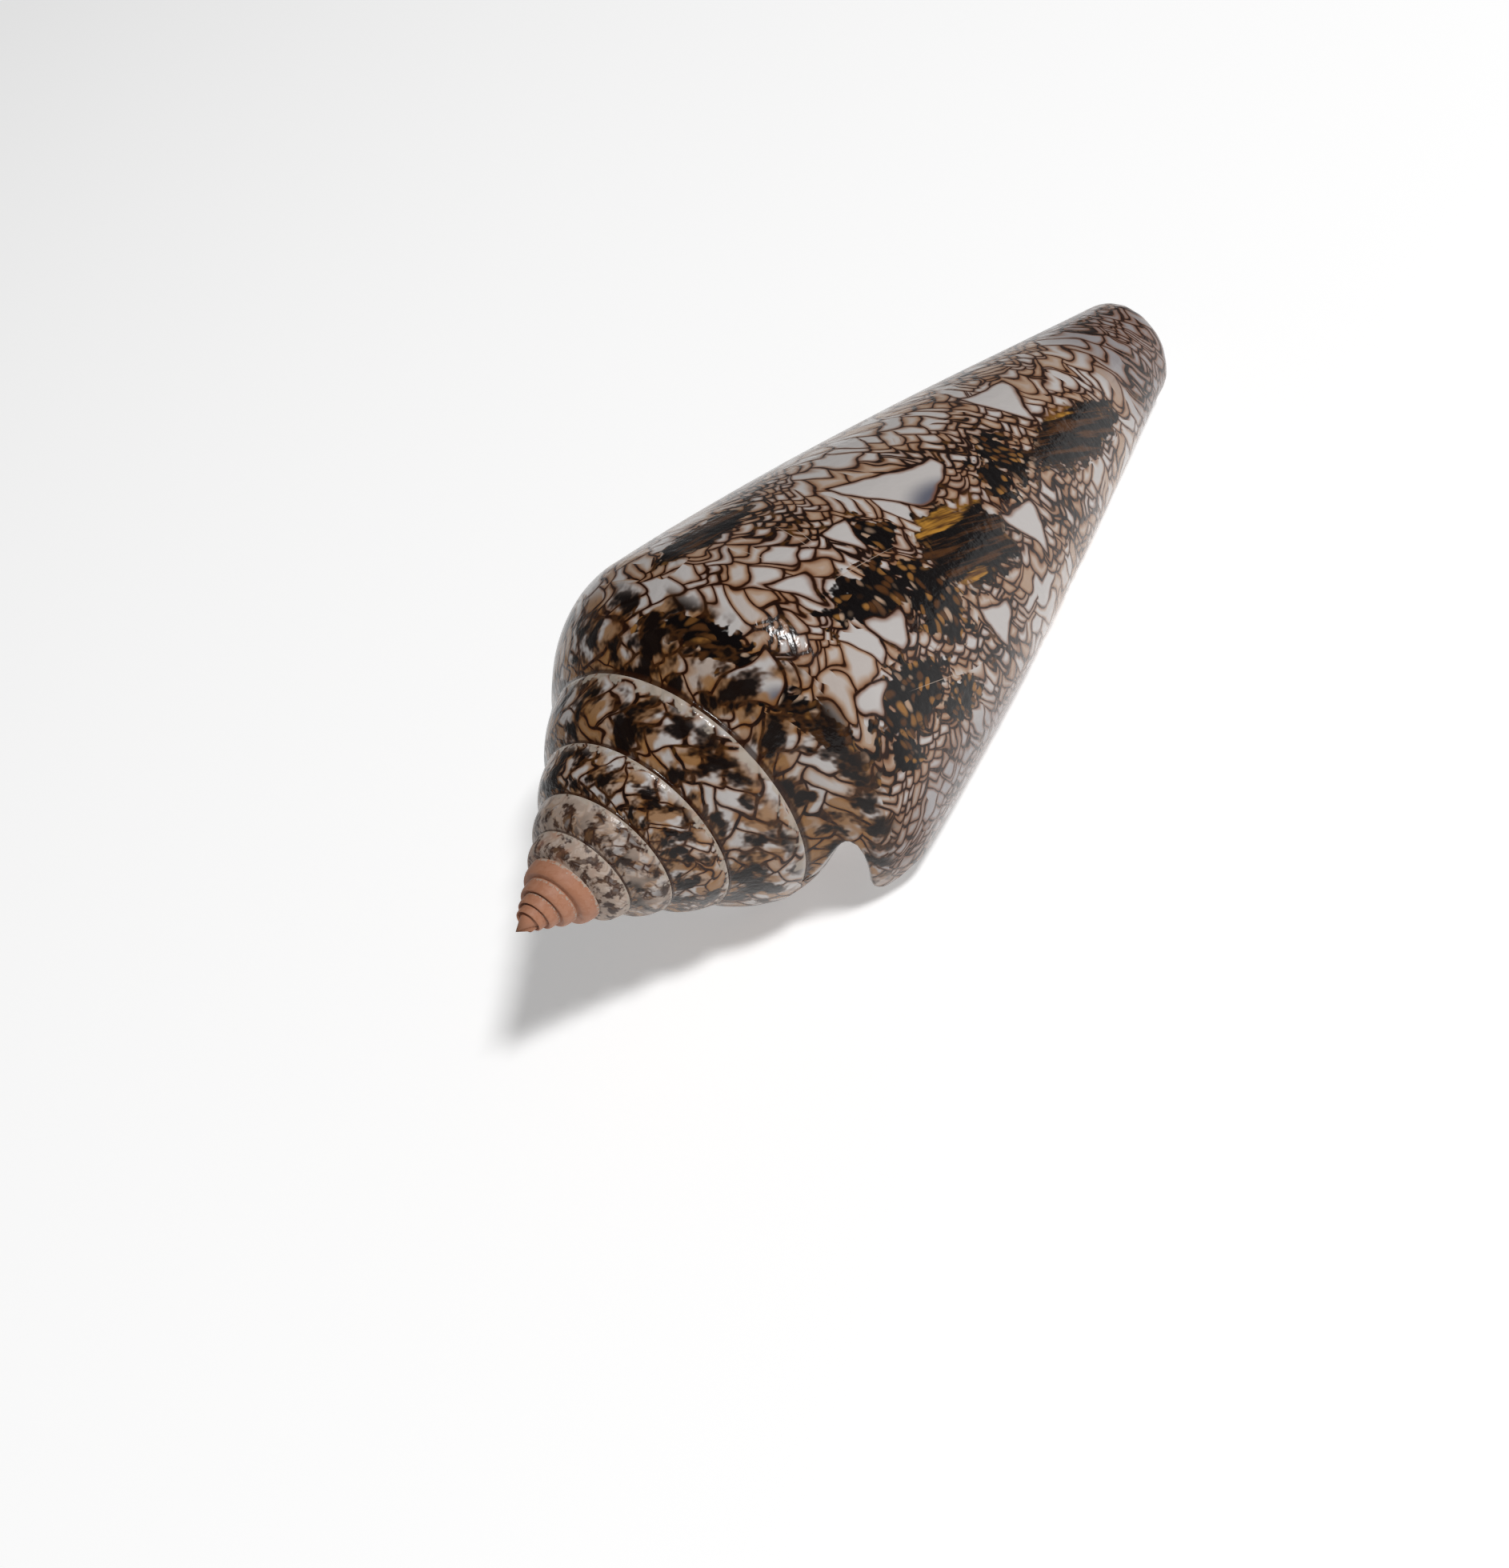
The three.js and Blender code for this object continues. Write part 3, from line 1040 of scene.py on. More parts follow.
@dataclass(frozen=True)
class TentNet:
    """Overlapping tents, each pointing along the growth and cut off behind by the earlier ones."""

    grids: tuple[TipGrid, ...]
    slope: float = 1.6
    nose: float = 0.38
    soft: float = 0.3
    line_slope: float = 1.35
    cluster_scale: float = 0.13
    cluster_level: float = 0.51
    far: float = 100.0
    apart: float = 0.002

    def read(self, bench: Bench, place: Wire, crowding: Wire) -> TentReading:
        """Draws the net.

        Args:
            bench: the material.
            place: the place on the mantle, in millimetres.
            crowding: what is added to the noise that says where small tents crowd in.

        Returns:
            The distance to the nearest line, and the tip of the tent that holds the place.
        """
        best: Value = self.far
        front: Value = self.far
        side: Value = 0.0
        reach = self.slope * self.nose
        tents = []
        for grid in self.grids:
            for ahead, aside in grid.tips(bench, place, reach):
                spread = bench.math("SQRT", bench.fused(aside, aside, self.nose**2))
                cone = bench.fused(spread, -self.slope, ahead)
                if grid.clustered:
                    where = bench.vector("ADD", place, bench.join(ahead, aside))
                    crowd = bench.noise(where, self.cluster_scale, 1.0) + crowding
                    cone = bench.fused(crowd < self.cluster_level, -self.far, cone)
                key = bench.fused(cone > 0.0, -self.far, ahead + self.far)
                nearer = key < best
                front = bench.choose(nearer, front, cone)
                side = bench.choose(nearer, side, aside)
                best = bench.math("MINIMUM", best, key)
                tents.append((ahead, cone))
        behind: Value = self.far
        earlier = best - self.apart
        for ahead, cone in tents:
            gap = bench.fused(ahead < earlier, -self.far, self.far - cone)
            behind = bench.math("SMOOTH_MIN", behind, gap, self.soft)
        edge = bench.math("SMOOTH_MIN", front, behind, self.soft) * (1 / self.line_slope)
        tip = bench.vector("ADD", place, bench.join(best, side))
        return TentReading(edge, tip)


@dataclass(frozen=True)
class BigTent:
    """One large white tent with its tip at a place on the mantle."""

    along: float
    across: float
    length: float
    half_width: float
    nose: float = 0.2
    soft: float = 0.5
    sharpness: float = 0.8
    rear_hollow: float = 0.1

    def read(self, bench: Bench, place: Wire) -> Wire:
        """The distance inside the tent's outline, negative outside.

        Args:
            bench: the material.
            place: the place on the mantle, in millimetres.

        Returns:
            The distance, in millimetres.
        """
        slope = self.sharpness * self.length / self.half_width
        steep = math.hypot(1, slope)
        back, side, _ = bench.split(bench.vector("SUBTRACT", (self.along, self.across, 0.0), place))
        square = bench.fused(side, side, self.nose**2)
        spread = bench.math("SQRT", square)
        front = bench.fused(back, 1 / steep, self.nose * slope / steep)
        front = bench.fused(spread, -slope / steep, front)
        rear = bench.fused(square, self.rear_hollow / self.half_width, self.length - back)
        flank = (self.half_width + self.nose) - spread
        corner = bench.math("SMOOTH_MIN", front, rear, self.soft)
        return bench.math("SMOOTH_MIN", corner, flank, self.soft)


@dataclass(frozen=True)
class Patch:
    """One patch of the mantle, an oval that may lean along the growth line."""

    along: float
    across: float
    reach_along: float
    reach_across: float
    lean: float = 0.0

    def read(self, bench: Bench, place: Wire) -> Wire:
        """Distance from the middle, 1 at the edge.

        Args:
            bench: the material.
            place: the place on the mantle, in millimetres.

        Returns:
            The distance.
        """
        sockets = {
            "Vector": place,
            "Location": (self.along, self.across, 0.0),
            "Rotation": (0.0, 0.0, math.radians(self.lean)),
            "Scale": (self.reach_along, self.reach_across, 1.0),
        }
        local = bench.wire(bench.node("ShaderNodeMapping", {"vector_type": "TEXTURE"}, sockets))
        return bench.vector("LENGTH", local)


def within_patches(
    bench: Bench, patches: Sequence[Patch], place: Wire, blend_by: float = 0.3
) -> Wire:
    """How far inside the nearest of several patches a place is.

    Args:
        bench: the material.
        patches: the patches.
        place: the place on the mantle, in millimetres.
        blend_by: how far neighbours run into each other.

    Returns:
        1 in the middle of a patch, 0 on its edge, negative outside.
    """
    nearest: Value = -NOWHERE
    for patch in patches:
        nearest = bench.math("SMOOTH_MIN", nearest, patch.read(bench, place), blend_by)
    return 1.0 - nearest


class Pigment(Enum):
    """The shell's colours, and the lavender-grey used as painted shade."""

    WHITE = (0.50, 0.47, 0.455)
    ROSE = (0.39, 0.265, 0.185)
    SLATE = (0.075, 0.08, 0.115)
    # Lavender-grey: painted shade on the lower flank, and the tint of a patch near the front end.
    SHADE_LAVENDER = (0.24, 0.22, 0.23)
    AMBER = (0.18, 0.060, 0.014)
    GOLD = (0.21, 0.085, 0.012)
    BRIGHT = (0.42, 0.20, 0.03)
    HONEY = (0.28, 0.128, 0.032)
    UMBER = (0.075, 0.028, 0.008)
    RUST = (0.036, 0.013, 0.007)
    # Brown: the lines of the net, and the painted shade along the suture.
    BROWN = (0.022, 0.006, 0.002)
    BLACK = (0.004, 0.0025, 0.0025)
    SALMON = (0.42, 0.185, 0.105)
    CREAM = (0.45, 0.35, 0.285)
    WORN = (0.42, 0.36, 0.30)
    ENAMEL = (0.52, 0.49, 0.47)


@dataclass(frozen=True)
class EarlyWhorls:
    """The blotched early whorls, the plain apex, the worn crests, and painted shade along the
    suture.
    """

    wander: Band = (0.22, 2.0, 0.55)
    spot_noise: Band = (0.32, 3.0, 0.6)
    spot_edge: Band = (0.46, 0.58, 0.95)
    early: Band = (-3.6, -2.4)
    early_wander: float = 1.6
    early_share: float = 0.8
    first: Band = (-5.0, -4.2)
    first_wander: float = 1.2
    first_share: float = 0.9
    chip_noise: Band = (0.9, 2.0)
    chip_by: float = 0.6
    crest: Band = (0.9, 0.98)
    worn_before: float = -1.02
    worn_share: float = 0.8
    # A dark brown line along the suture of the later whorls: painted shade in the groove.
    suture_shade: Band = (0.0, 0.035)
    suture_shade_from: Band = (-5.2, -2.9)
    suture_shade_share: float = 0.85

    def read(self, bench: Bench, cloth: Wire, place: Wire, stage: Wire, share: Wire) -> Wire:
        """Fades the cloth to rosy blotches and then to the apex, and adds the worn crest and a
        painted shade line along the suture.

        Args:
            bench: the material.
            cloth: the colour so far.
            place: the place on the mantle, in millimetres.
            stage: the stage of growth.
            share: the place from suture, 0, to crest, 1.

        Returns:
            The colour.
        """
        blotch = bench.noise(place, *self.wander)
        spots = bench.rise(bench.noise(place, *self.spot_noise), *self.spot_edge)
        rose = bench.tint(spots, Pigment.CREAM.value, Pigment.RUST.value)
        early = bench.fall(stage + self.early_wander * (blotch - 0.5), *self.early)
        colour = bench.tint(early * self.early_share, cloth, rose)
        first = bench.fall(stage + self.first_wander * (blotch - 0.5), *self.first)
        colour = bench.tint(first * self.first_share, colour, Pigment.SALMON.value)
        chips = bench.noise(place, *self.chip_noise)
        worn = bench.rise(share + self.chip_by * (chips - 0.5), *self.crest)
        worn = worn * (stage < self.worn_before)
        colour = bench.tint(worn * self.worn_share, colour, Pigment.WORN.value)
        # Painted shade: a dark brown line in the groove along the suture.
        suture_shade = bench.fall(share, *self.suture_shade) * bench.rise(stage, *self.suture_shade_from)
        return bench.tint(suture_shade * self.suture_shade_share, colour, Pigment.BROWN.value)


@dataclass(frozen=True)
class Darkness:
    """How dark a place is: dark patches, cores with streaks, gold among them, and flames."""

    pigment: Wire
    core: Wire
    gold: Wire
    flames: Wire


@dataclass(frozen=True)
class DarkParts:
    """The dark and golden patches of the mantle, and what fills them."""

    cores: tuple[Patch, ...] = (
        Patch(25.4, 20.3, 3.8, 5.2, 10),
        Patch(13.4, 6.4, 1.7, 5.2, 8),
        Patch(18.4, 40.4, 2.3, 7.6, 16),
    )
    dark: tuple[Patch, ...] = (
        Patch(26.3, 9.0, 2.6, 5.6, 6),
        Patch(34.6, 5.6, 2.9, 5.0, 11),
        Patch(28.4, 13.4, 4.4, 3.4, 0),
        Patch(21.0, 27.9, 3.0, 1.8, 0),
        Patch(21.8, 13.8, 2.2, 2.0, 0),
        Patch(37.0, 10.5, 1.8, 2.8, 11),
        Patch(38.0, 2.5, 2.0, 1.8, 0),
        Patch(19.0, 31.0, 3.2, 2.4, 0),
        Patch(20.0, -2.6, 7.0, 1.5, 4),
        Patch(31.0, -2.2, 7.0, 1.4, 14),
    )
    gold: tuple[Patch, ...] = (
        Patch(22.7, 20.4, 0.95, 4.9, 13),
        Patch(35.0, 5.5, 0.7, 1.2, 0),
        Patch(26.0, 7.4, 0.9, 1.3, 0),
        Patch(28.0, 18.6, 0.5, 2.6, 8),
        Patch(16.0, 40.5, 0.6, 2.4, 10),
    )
    ragged_noise: Band = (0.8, 2.0)
    core_ragged: float = 0.9
    dark_ragged: float = 1.6
    gold_ragged: float = 0.7
    core_edge: Band = (-0.2, 0.2)
    dark_edge: Band = (-0.3, 0.45)
    flame_noise: Band = (0.34, 3.0, 0.6)
    flame_shade: Band = (0.46, 0.6, 0.6)
    broad_noise: Band = (0.14, 2.0)
    broad_edge: Band = (0.5, 0.64, 0.6)
    big_tent_clears: float = 0.7
    dot_stretch: tuple[float, float, float] = (0.75, 1.0, 1.0)
    dot_scale: float = 1.5
    dot_spread: float = 0.25
    dot_edge: Band = (0.0, 0.38)
    dot_sizes: Band = (0.25, 0.5)
    dot_tones: Band = (0.5, 0.9)
    dot_pale: Band = (0.08, 0.2)
    dot_depth: Band = (0.5, 1.0)
    streak_stretch: tuple[float, float, float] = (1.0, 0.1, 1.0)
    streak_noise: Band = (1.6, 3.0, 0.6)
    streak_umber: Band = (0.45, 0.68, 0.9)
    streak_bright: Band = (0.36, 0.62)
    lit_by: float = 1.2
    lit_edge: Band = (0.0, 0.4)
    streaked_edge: Band = (-0.12, 0.3)

    def read(self, bench: Bench, place: Wire, ramp: Wire, in_big: Wire) -> Darkness:
        """Says how dark a place is.

        Args:
            bench: the material.
            place: the place on the mantle, in millimetres.
            ramp: 1 on the ramp, 0 on the flank.
            in_big: 1 inside a large tent.

        Returns:
            The darkness at the place.
        """
        ragged = bench.noise(place, *self.ragged_noise) - 0.5
        core = bench.fused(ragged, self.core_ragged, within_patches(bench, self.cores, place))
        dark = bench.fused(ragged, self.dark_ragged, within_patches(bench, self.dark, place))
        gold = bench.fused(ragged, self.gold_ragged, within_patches(bench, self.gold, place))
        flames = bench.noise(place, *self.flame_noise)
        pigment = bench.most(bench.rise(dark, *self.dark_edge), bench.rise(core, *self.core_edge))
        pigment = bench.most(pigment, bench.rise(flames, *self.flame_shade) * ramp)
        broad = bench.noise(place, *self.broad_noise)
        pigment = bench.most(pigment, bench.rise(broad, *self.broad_edge))
        pigment = pigment * (1.0 - in_big * self.big_tent_clears)
        return Darkness(pigment, core, gold, flames)

    def dots(self, bench: Bench, cloth: Wire, place: Wire, deep: Wire) -> Wire:
        """Fills the darkest patches with small pale and amber dots on near black.

        Args:
            bench: the material.
            cloth: the colour so far.
            place: the place on the mantle, in millimetres.
            deep: how dark the cloth is at the place.

        Returns:
            The colour.
        """
        stretched = bench.vector("MULTIPLY", place, self.dot_stretch)
        sockets = {"Vector": stretched, "Scale": self.dot_scale}
        cells = bench.node("ShaderNodeTexVoronoi", {"voronoi_dimensions": "2D"}, sockets)
        size, tone, _ = bench.split(bench.wire(cells, "Color"))
        away = bench.wire(cells, "Distance") - self.dot_spread * size
        spot = bench.fall(away, *self.dot_edge) * bench.rise(size, *self.dot_sizes)
        toned = bench.rise(tone, *self.dot_tones)
        warm = bench.tint(toned, Pigment.UMBER.value, Pigment.HONEY.value)
        warm = bench.tint(bench.fall(tone, *self.dot_pale), warm, Pigment.ROSE.value)
        night = bench.tint(spot, Pigment.BLACK.value, warm)
        return bench.tint(bench.rise(deep, *self.dot_depth), cloth, night)

    def streaks(
        self, bench: Bench, cloth: Wire, place: Wire, found: Darkness, in_big: Wire
    ) -> Wire:
        """Draws umber and golden streaks across the cores.

        Args:
            bench: the material.
            cloth: the colour so far.
            place: the place on the mantle, in millimetres.
            found: the darkness at the place.
            in_big: 1 inside a large tent.

        Returns:
            The colour.
        """
        stretched = bench.vector("MULTIPLY", place, self.streak_stretch)
        streak = bench.noise(stretched, *self.streak_noise)
        umber = bench.rise(streak, *self.streak_umber)
        streaks = bench.tint(umber, Pigment.BLACK.value, Pigment.UMBER.value)
        lit = bench.rise(found.gold + self.lit_by * (streak - 0.5), *self.lit_edge)
        bright = bench.rise(streak, *self.streak_bright)
        bright = bench.tint(bright, Pigment.UMBER.value, Pigment.BRIGHT.value)
        streaks = bench.tint(lit, streaks, bright)
        streaked = bench.rise(found.core, *self.streaked_edge) * (1.0 - in_big)
        return bench.tint(streaked, cloth, streaks)


@dataclass(frozen=True)
class Markings:
    """A cloth of tents with dark parts, flames on the ramp, scratches, and the early whorls."""

    net: TentNet = TentNet(
        grids=(
            TipGrid(2.7, 1.9, 11.0, rows=(-1, 0, 1, 2)),
            TipGrid(1.3, 1.0, 23.0, rows=(-1, 0, 1, 2), clustered=True),
        )
    )
    big: tuple[BigTent, ...] = (
        BigTent(21.0, 20.5, 4.2, 4.4),
        BigTent(30.8, 7.6, 2.9, 1.5),
        BigTent(34.9, 2.6, 2.6, 1.5),
        BigTent(23.8, 11.6, 3.2, 1.5),
        BigTent(35.2, 19.0, 4.4, 2.0),
        BigTent(28.2, 27.6, 4.2, 2.2),
        BigTent(25.0, 5.0, 2.8, 1.2),
        BigTent(16.2, 37.5, 5.0, 2.6),
        BigTent(13.5, -4.0, 6.0, 2.0),
        BigTent(28.6, -3.6, 4.6, 2.1),
    )
    parts: DarkParts = DarkParts()
    early: EarlyWhorls = EarlyWhorls()
    dusk: tuple[Patch, ...] = (
        Patch(21.9, 21.8, 3.4, 5.2, 12),
        Patch(29.5, -2.6, 3.0, 1.8, 10),
    )
    # Where the ground turns lavender-grey: painted shade on the lower flank, which faces away from
    # the key light, and a patch near the front end.
    shaded: tuple[Patch, ...] = (
        Patch(45.0, 14.0, 8.5, 24.0, 8),
        Patch(11.0, 56.0, 14.0, 9.0, 0),
    )
    crowded: tuple[Patch, ...] = (
        Patch(42.5, 14.0, 6.5, 16.0, 8),
        Patch(20.0, 29.5, 7.0, 5.0, 0),
        Patch(11.0, 50.0, 7.0, 9.0, 0),
    )
    scratches: tuple[Patch, ...] = (
        Patch(19.0, 9.0, 2.4, 0.05, -8),
        Patch(18.6, 5.3, 2.1, 0.05, 6),
        Patch(19.6, 9.6, 1.4, 0.04, -14),
        Patch(23.8, 10.5, 0.04, 4.2, 4),
        Patch(34.5, 8.5, 0.04, 3.4, -6),
    )
    wide_bend: tuple[float, float] = (0.11, 4.0)
    near_bend: tuple[float, float] = (0.36, 1.3)
    bend_detail: float = 1.0
    big_tent_bend: float = 0.75
    ramp_edge: Band = (-1.6, 0.2)
    crowd_edge: Band = (-0.3, 0.2)
    crowd_by: float = 0.12
    ramp_thins: float = 0.25
    line: float = 0.088
    thick_line: float = 0.18
    ramp_line: float = 0.04
    wobble_noise: Band = (1.3, 1.0)
    wobble: float = 0.07
    line_edge: Band = (-0.05, 0.06)
    halo_edge: Band = (-0.05, 0.34)
    halo_share: float = 0.85
    own_noise: Band = (0.5, 1.0)
    clean_edge: Band = (0.25, 0.75)
    clean_by: float = 0.18
    rosy_edge: Band = (0.28, 0.6)
    shade_edge: Band = (0.0, 0.6, 0.8)
    dusk_edge: Band = (0.0, 0.55)
    dusk_share: float = 0.92
    honey_place: tuple[float, float, float] = (40.0, 9.0, 0.0)
    honey_noise: Band = (0.3, 2.0)
    honey_near_suture: Band = (-6.8, -4.0)
    honey_more: float = 0.1
    honey_edge: Band = (0.47, 0.58, 0.85)
    deep_edge: Band = (0.25, 0.9)
    fleck_noise: Band = (0.8, 2.0)
    fleck_edge: Band = (0.55, 0.72)
    fleck_gold: Band = (-0.1, 0.5)
    fleck_share: float = 0.9
    glow_noise: Band = (2.2, 2.0)
    flame_umber: Band = (0.44, 0.56, 0.85)
    flame_black: Band = (0.51, 0.61, 0.95)
    scratch_edge: Band = (0.0, 0.5, 0.6)

    def bent(self, bench: Bench, place: Wire) -> Wire:
        """Moves places about by noise, so that no row of tents stays straight.

        Args:
            bench: the material.
            place: the place on the mantle, in millimetres.

        Returns:
            The place to read the net at.
        """
        (wide_scale, wide_by), (near_scale, near_by) = self.wide_bend, self.near_bend
        wide = bench.wire(bench.noise_node(place, wide_scale, self.bend_detail), "Color")
        near = bench.wire(bench.noise_node(place, near_scale, self.bend_detail), "Color")
        bent = bench.vector("ADD", place, (-wide_by / 2, -wide_by / 2, 0.0))
        bent = bench.vector("MULTIPLY_ADD", wide, (wide_by, wide_by, 0.0), bent)
        bent = bench.vector("ADD", bent, (-near_by / 2, -near_by / 2, 0.0))
        return bench.vector("MULTIPLY_ADD", near, (near_by, near_by, 0.0), bent)

    def ground(
        self, bench: Bench, place: Wire, tents: TentReading, edge: Wire, in_big: Wire
    ) -> Wire:
        """The colour inside the tents, before the lines, with painted shade on the lower flank.

        Args:
            bench: the material.
            place: the place on the mantle, in millimetres.
            tents: what the net says at the place.
            edge: the distance to the nearest line.
            in_big: 1 inside a large tent.

        Returns:
            The colour.
        """
        own = bench.noise(tents.tip, *self.own_noise)
        clean = bench.most(in_big, bench.rise(edge, *self.clean_edge))
        rosy = bench.rise(own - self.clean_by * clean, *self.rosy_edge) * (1.0 - in_big)
        ground = bench.tint(rosy, Pigment.WHITE.value, Pigment.ROSE.value)
        # Painted shade: the lower flank is tinted lavender-grey, as is a patch near the front end.
        shade = bench.rise(within_patches(bench, self.shaded, place), *self.shade_edge)
        ground = bench.tint(shade, ground, Pigment.SHADE_LAVENDER.value)
        dusk = bench.rise(within_patches(bench, self.dusk, place), *self.dusk_edge) * in_big
        return bench.tint(dusk * self.dusk_share, ground, Pigment.SLATE.value)

    def honey(self, bench: Bench, ground: Wire, place: Wire, ramp: Wire) -> Wire:
        """Warms the ground on the ramp, most of all beside the suture.

        Args:
            bench: the material.
            ground: the colour so far.
            place: the place on the mantle, in millimetres.
            ramp: 1 on the ramp, 0 on the flank.

        Returns:
            The colour.
        """
        _, across, _ = bench.split(place)
        warm = bench.noise(bench.vector("ADD", place, self.honey_place), *self.honey_noise)
        near_suture = bench.fall(across, *self.honey_near_suture)
        warm = bench.fused(near_suture, self.honey_more, warm)
        return bench.tint(bench.rise(warm, *self.honey_edge) * ramp, ground, Pigment.HONEY.value)

    def ink(self, bench: Bench, place: Wire, deep: Wire, gold: Wire) -> Wire:
        """The colour of the lines and of the dark parts, with golden flecks.

        Args:
            bench: the material.
            place: the place on the mantle, in millimetres.
            deep: how dark the cloth is at the place.
            gold: how far inside a golden patch the place is.

        Returns:
            The colour.
        """
        ink = bench.tint(deep, Pigment.BROWN.value, Pigment.BLACK.value)
        fleck = bench.rise(bench.noise(place, *self.fleck_noise), *self.fleck_edge) * deep
        fleck = bench.most(fleck, bench.rise(gold, *self.fleck_gold))
        glow = bench.noise(place, *self.glow_noise)
        glow = bench.tint(glow, Pigment.UMBER.value, Pigment.GOLD.value)
        return bench.tint(fleck * self.fleck_share, ink, glow)

    def read(self, bench: Bench, place: Wire, coil: Wire) -> Wire:
        """Draws the markings.

        Args:
            bench: the material.
            place: the place on the mantle, in millimetres.
            coil: the stage of growth, and the place from suture to crest.

        Returns:
            The colour.
        """
        parts = self.parts
        bent = self.bent(bench, place)
        drift = bench.vector("SUBTRACT", bent, place)
        _, across, _ = bench.split(place)
        stage, width_share, _ = bench.split(coil)
        ramp = bench.fall(across, *self.ramp_edge)
        crowded = within_patches(bench, parts.dark + parts.cores + self.crowded, place)
        nearby = bench.rise(crowded, *self.crowd_edge)
        tents = self.net.read(bench, bent, self.crowd_by * nearby - self.ramp_thins * ramp)

        outline: Value = NOWHERE
        by = (self.big_tent_bend, self.big_tent_bend, 0.0)
        soft_place = bench.vector("MULTIPLY_ADD", drift, by, place)
        for tent in self.big:
            outline = bench.most(outline, tent.read(bench, soft_place))
        outside = bench.math("MINIMUM", tents.edge, abs(outline))
        in_big = outline > 0.0
        edge = bench.choose(in_big, outside, outline)

        found = parts.read(bench, place, ramp, in_big)
        dark = found.pigment
        wobble = bench.noise(place, *self.wobble_noise) - 0.5
        width = self.line + self.thick_line * (dark * dark) + self.wobble * wobble
        line = bench.fall(edge - width - self.ramp_line * ramp, *self.line_edge)
        halo = bench.fall(edge - width, *self.halo_edge)

        ground = self.ground(bench, place, tents, edge, in_big)
        ground = self.honey(bench, ground, place, ramp)
        ground = bench.tint(halo * self.halo_share, ground, Pigment.AMBER.value)
        deep = bench.rise(dark, *self.deep_edge)
        cloth = bench.tint(line, ground, self.ink(bench, place, deep, found.gold))
        cloth = parts.dots(bench, cloth, bent, deep)
        umber = bench.rise(found.flames, *self.flame_umber) * ramp
        cloth = bench.tint(umber, cloth, Pigment.UMBER.value)
        black = bench.rise(found.flames, *self.flame_black) * ramp
        cloth = bench.tint(black, cloth, Pigment.BLACK.value)
        cloth = parts.streaks(bench, cloth, place, found, in_big)
        scratched = within_patches(bench, self.scratches, place, 0.0)
        scratched = bench.rise(scratched, *self.scratch_edge)
        cloth = bench.tint(scratched, cloth, Pigment.CREAM.value)
        return self.early.read(bench, cloth, place, stage, width_share)


@dataclass(frozen=True)
class ShellFinish:
    """The polished, marked surface of the shell, and the enamel inside it."""

    markings: Markings = Markings()
    roughness: float = 0.18
    early_roughness: float = 0.5
    early: Band = (-4.6, -2.6)
    specular: float = 0.24
    enamel_edge: Band = (0.02, 0.3)
    grain_noise: Band = (2.0, 2.0, 0.6)
    grain: float = 0.4
    lines_stretch: tuple[float, float, float] = (60.0, 1.2, 1.0)
    crinkle_noise: Band = (1.1, 2.0)
    crinkle: float = 1.2
    smooth_before: Band = (-5.0, -1.5)
    bump_strength: float = 0.2
    bump_height: float = 0.0002

    def dress(self, shell: bpy.types.Object) -> None:
        """Gives the shell its material.

        Args:
            shell: the shell, with its three layouts.
        """
        material, bench = Bench.for_material("shell_markings")
        mantle, coil, zone = (bench.layout(name) for name in ("mantle", "coil", "zone"))
        colour = self.markings.read(bench, mantle, coil)
        depth, _, _ = bench.split(zone)
        colour = bench.tint(bench.rise(depth, *self.enamel_edge), colour, Pigment.ENAMEL.value)

        grain = bench.noise(mantle, *self.grain_noise)
        lines = bench.noise(bench.vector("MULTIPLY", coil, self.lines_stretch), 1.0)
        crinkle = bench.noise(mantle, *self.crinkle_noise)
        stage, _, _ = bench.split(coil)
        height = grain * self.grain + lines + crinkle * self.crinkle
        height = height * bench.rise(stage, *self.smooth_before)
        bumps = {"Strength": self.bump_strength, "Distance": self.bump_height, "Height": height}
        bump = bench.node("ShaderNodeBump", {}, bumps)
        polish = bench.rise(stage, *self.early)
        surface = {
            "Base Color": colour,
            "Roughness": bench.choose(polish, self.early_roughness, self.roughness),
            "Specular IOR Level": self.specular,
            "Normal": bench.wire(bump),
        }
        shader = bench.node("ShaderNodeBsdfPrincipled", {}, surface)
        bench.node("ShaderNodeOutputMaterial", {}, {"Surface": bench.wire(shader)})
        shell.data.materials.append(material)


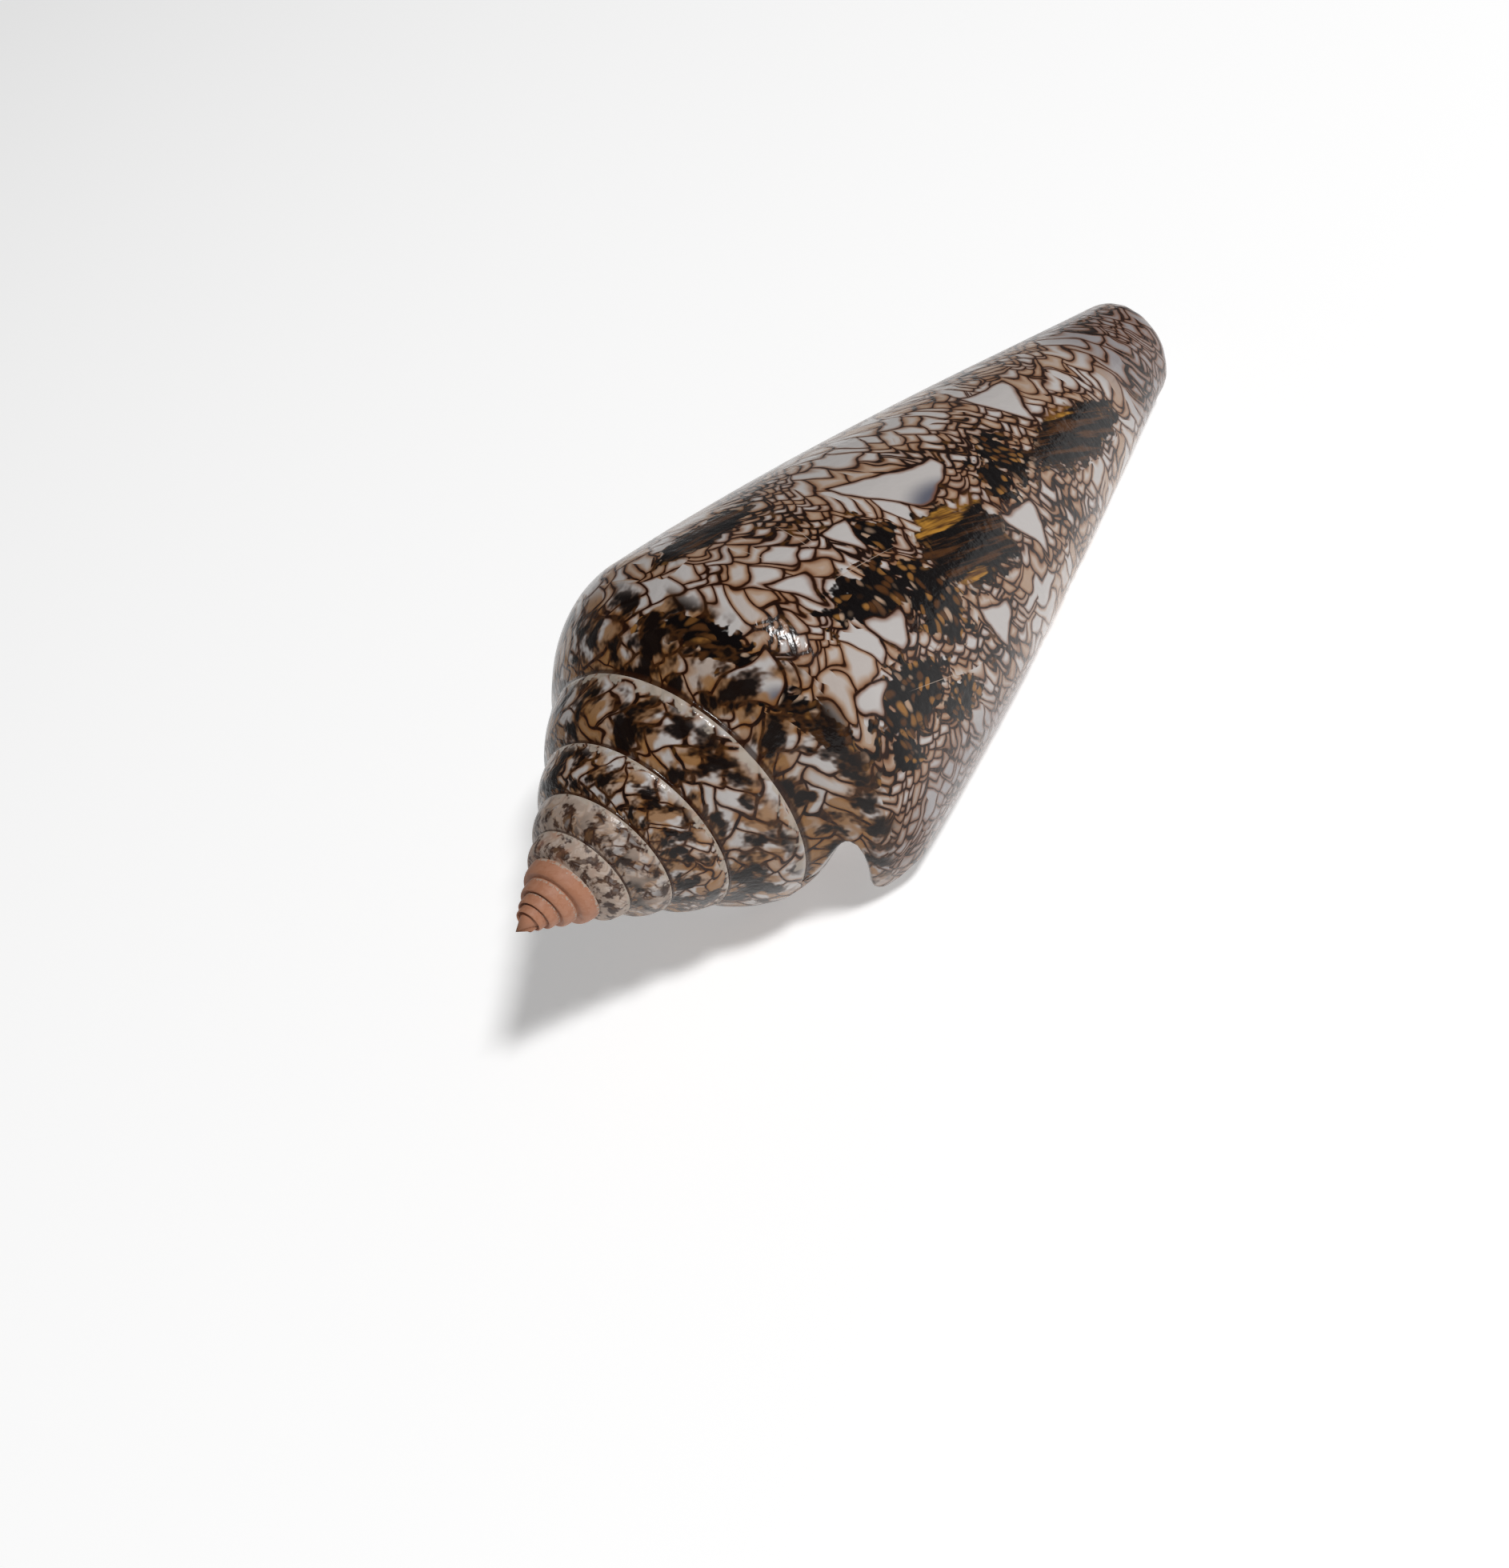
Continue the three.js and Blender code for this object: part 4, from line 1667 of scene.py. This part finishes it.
@dataclass(frozen=True)
class Studio:
    """A pale floor, soft lights and the camera, sized by the shell. Lengths are metres."""

    size: float = 0.085
    view_from: tuple[float, float, float] = (-0.08288, -0.09981, 0.10778)
    aim: tuple[float, float, float] = (-0.01994, -0.00177, 0.01016)
    lens: float = 45.59
    roll: float = 29.26
    sensor: float = 36.0
    clip: tuple[float, float] = (0.1, 100.0)
    low_sky: float = 0.2
    high_sky: float = 0.05
    sky_dims: Band = (0.15, 0.6)
    key_towards: tuple[float, float, float] = (0.1, -0.54, 0.81)
    key_reach: float = 14.0
    key_size: float = 2.1
    key_power: float = 10.5
    floor_size: float = 40.0
    floor_tone: float = 0.92
    floor_roughness: float = 0.9
    floor_glow: float = 0.36

    def floor(self) -> None:
        """Lays the plain floor, which glows a little, as paper lit from behind does."""
        bm = bmesh.new()
        bmesh.ops.create_grid(bm, x_segments=1, y_segments=1, size=self.floor_size * self.size)
        mesh = bpy.data.meshes.new("studio_floor")
        bm.to_mesh(mesh)
        bm.free()
        floor = bpy.data.objects.new("studio_floor", mesh)
        bpy.context.scene.collection.objects.link(floor)
        material, bench = Bench.for_material("floor_paper")
        paper = {
            "Base Color": (*(self.floor_tone,) * 3, 1.0),
            "Roughness": self.floor_roughness,
            "Emission Color": (1.0, 1.0, 1.0, 1.0),
            "Emission Strength": self.floor_glow,
        }
        shader = bench.node("ShaderNodeBsdfPrincipled", {}, paper)
        bench.node("ShaderNodeOutputMaterial", {}, {"Surface": bench.wire(shader)})
        mesh.materials.append(material)

    def key_light(self) -> None:
        """Hangs the one soft square light, which faces the shell."""
        data = bpy.data.lights.new("key", "AREA")
        data.size = self.key_size * self.size
        data.energy = self.key_power
        lamp = bpy.data.objects.new("key", data)
        direction = Vector(self.key_towards).normalized()
        lamp.location = Vector(self.aim) + direction * self.key_reach * self.size
        lamp.rotation_mode = "QUATERNION"
        lamp.rotation_quaternion = direction.to_track_quat("Z", "Y")
        bpy.context.scene.collection.objects.link(lamp)

    def lights(self) -> None:
        """Sets the bright surroundings and the light."""
        world = bpy.data.worlds.new("studio_air")
        world.use_nodes = True
        bench = Bench(world.node_tree)
        direction = bench.wire(bench.node("ShaderNodeTexCoord", {}, {}), "Generated")
        _, _, height = bench.split(direction)
        dim = bench.rise(height, *self.sky_dims)
        strength = bench.choose(dim, self.low_sky, self.high_sky)
        glow = {"Color": (1.0, 1.0, 1.0, 1.0), "Strength": strength}
        light = bench.node("ShaderNodeBackground", {}, glow)
        bench.node("ShaderNodeOutputWorld", {}, {"Surface": bench.wire(light)})
        bpy.context.scene.world = world
        self.key_light()

    def camera(self) -> None:
        """Places the camera and rolls it so that the shell lies as it is seen."""
        data = bpy.data.cameras.new("camera")
        data.lens = self.lens
        data.sensor_width = self.sensor
        data.clip_start, data.clip_end = (self.size * reach for reach in self.clip)
        camera = bpy.data.objects.new("camera", data)
        place, aim = Vector(self.view_from), Vector(self.aim)
        upright = (aim - place).to_track_quat("-Z", "Y")
        camera.location = place
        camera.rotation_mode = "QUATERNION"
        rolled = Matrix.Rotation(math.radians(-self.roll), 3, "Z").to_quaternion()
        camera.rotation_quaternion = upright @ rolled
        bpy.context.scene.collection.objects.link(camera)
        bpy.context.scene.camera = camera

    def build(self) -> None:
        """Sets up the whole studio."""
        self.floor()
        self.lights()
        self.camera()
        bpy.context.scene.view_settings.view_transform = "Standard"


def main() -> None:
    """Builds the shell and the studio, in order."""
    logging.basicConfig(level=logging.INFO, format="%(message)s")
    shell = ConeShell(Growth()).build()
    ShellFinish().dress(shell)
    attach(shell, "root")
    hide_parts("shell")
    log.info("cone_shell: in place")
    Studio().build()
    log.info("studio: in place")


if __name__ == "__main__":
    main()
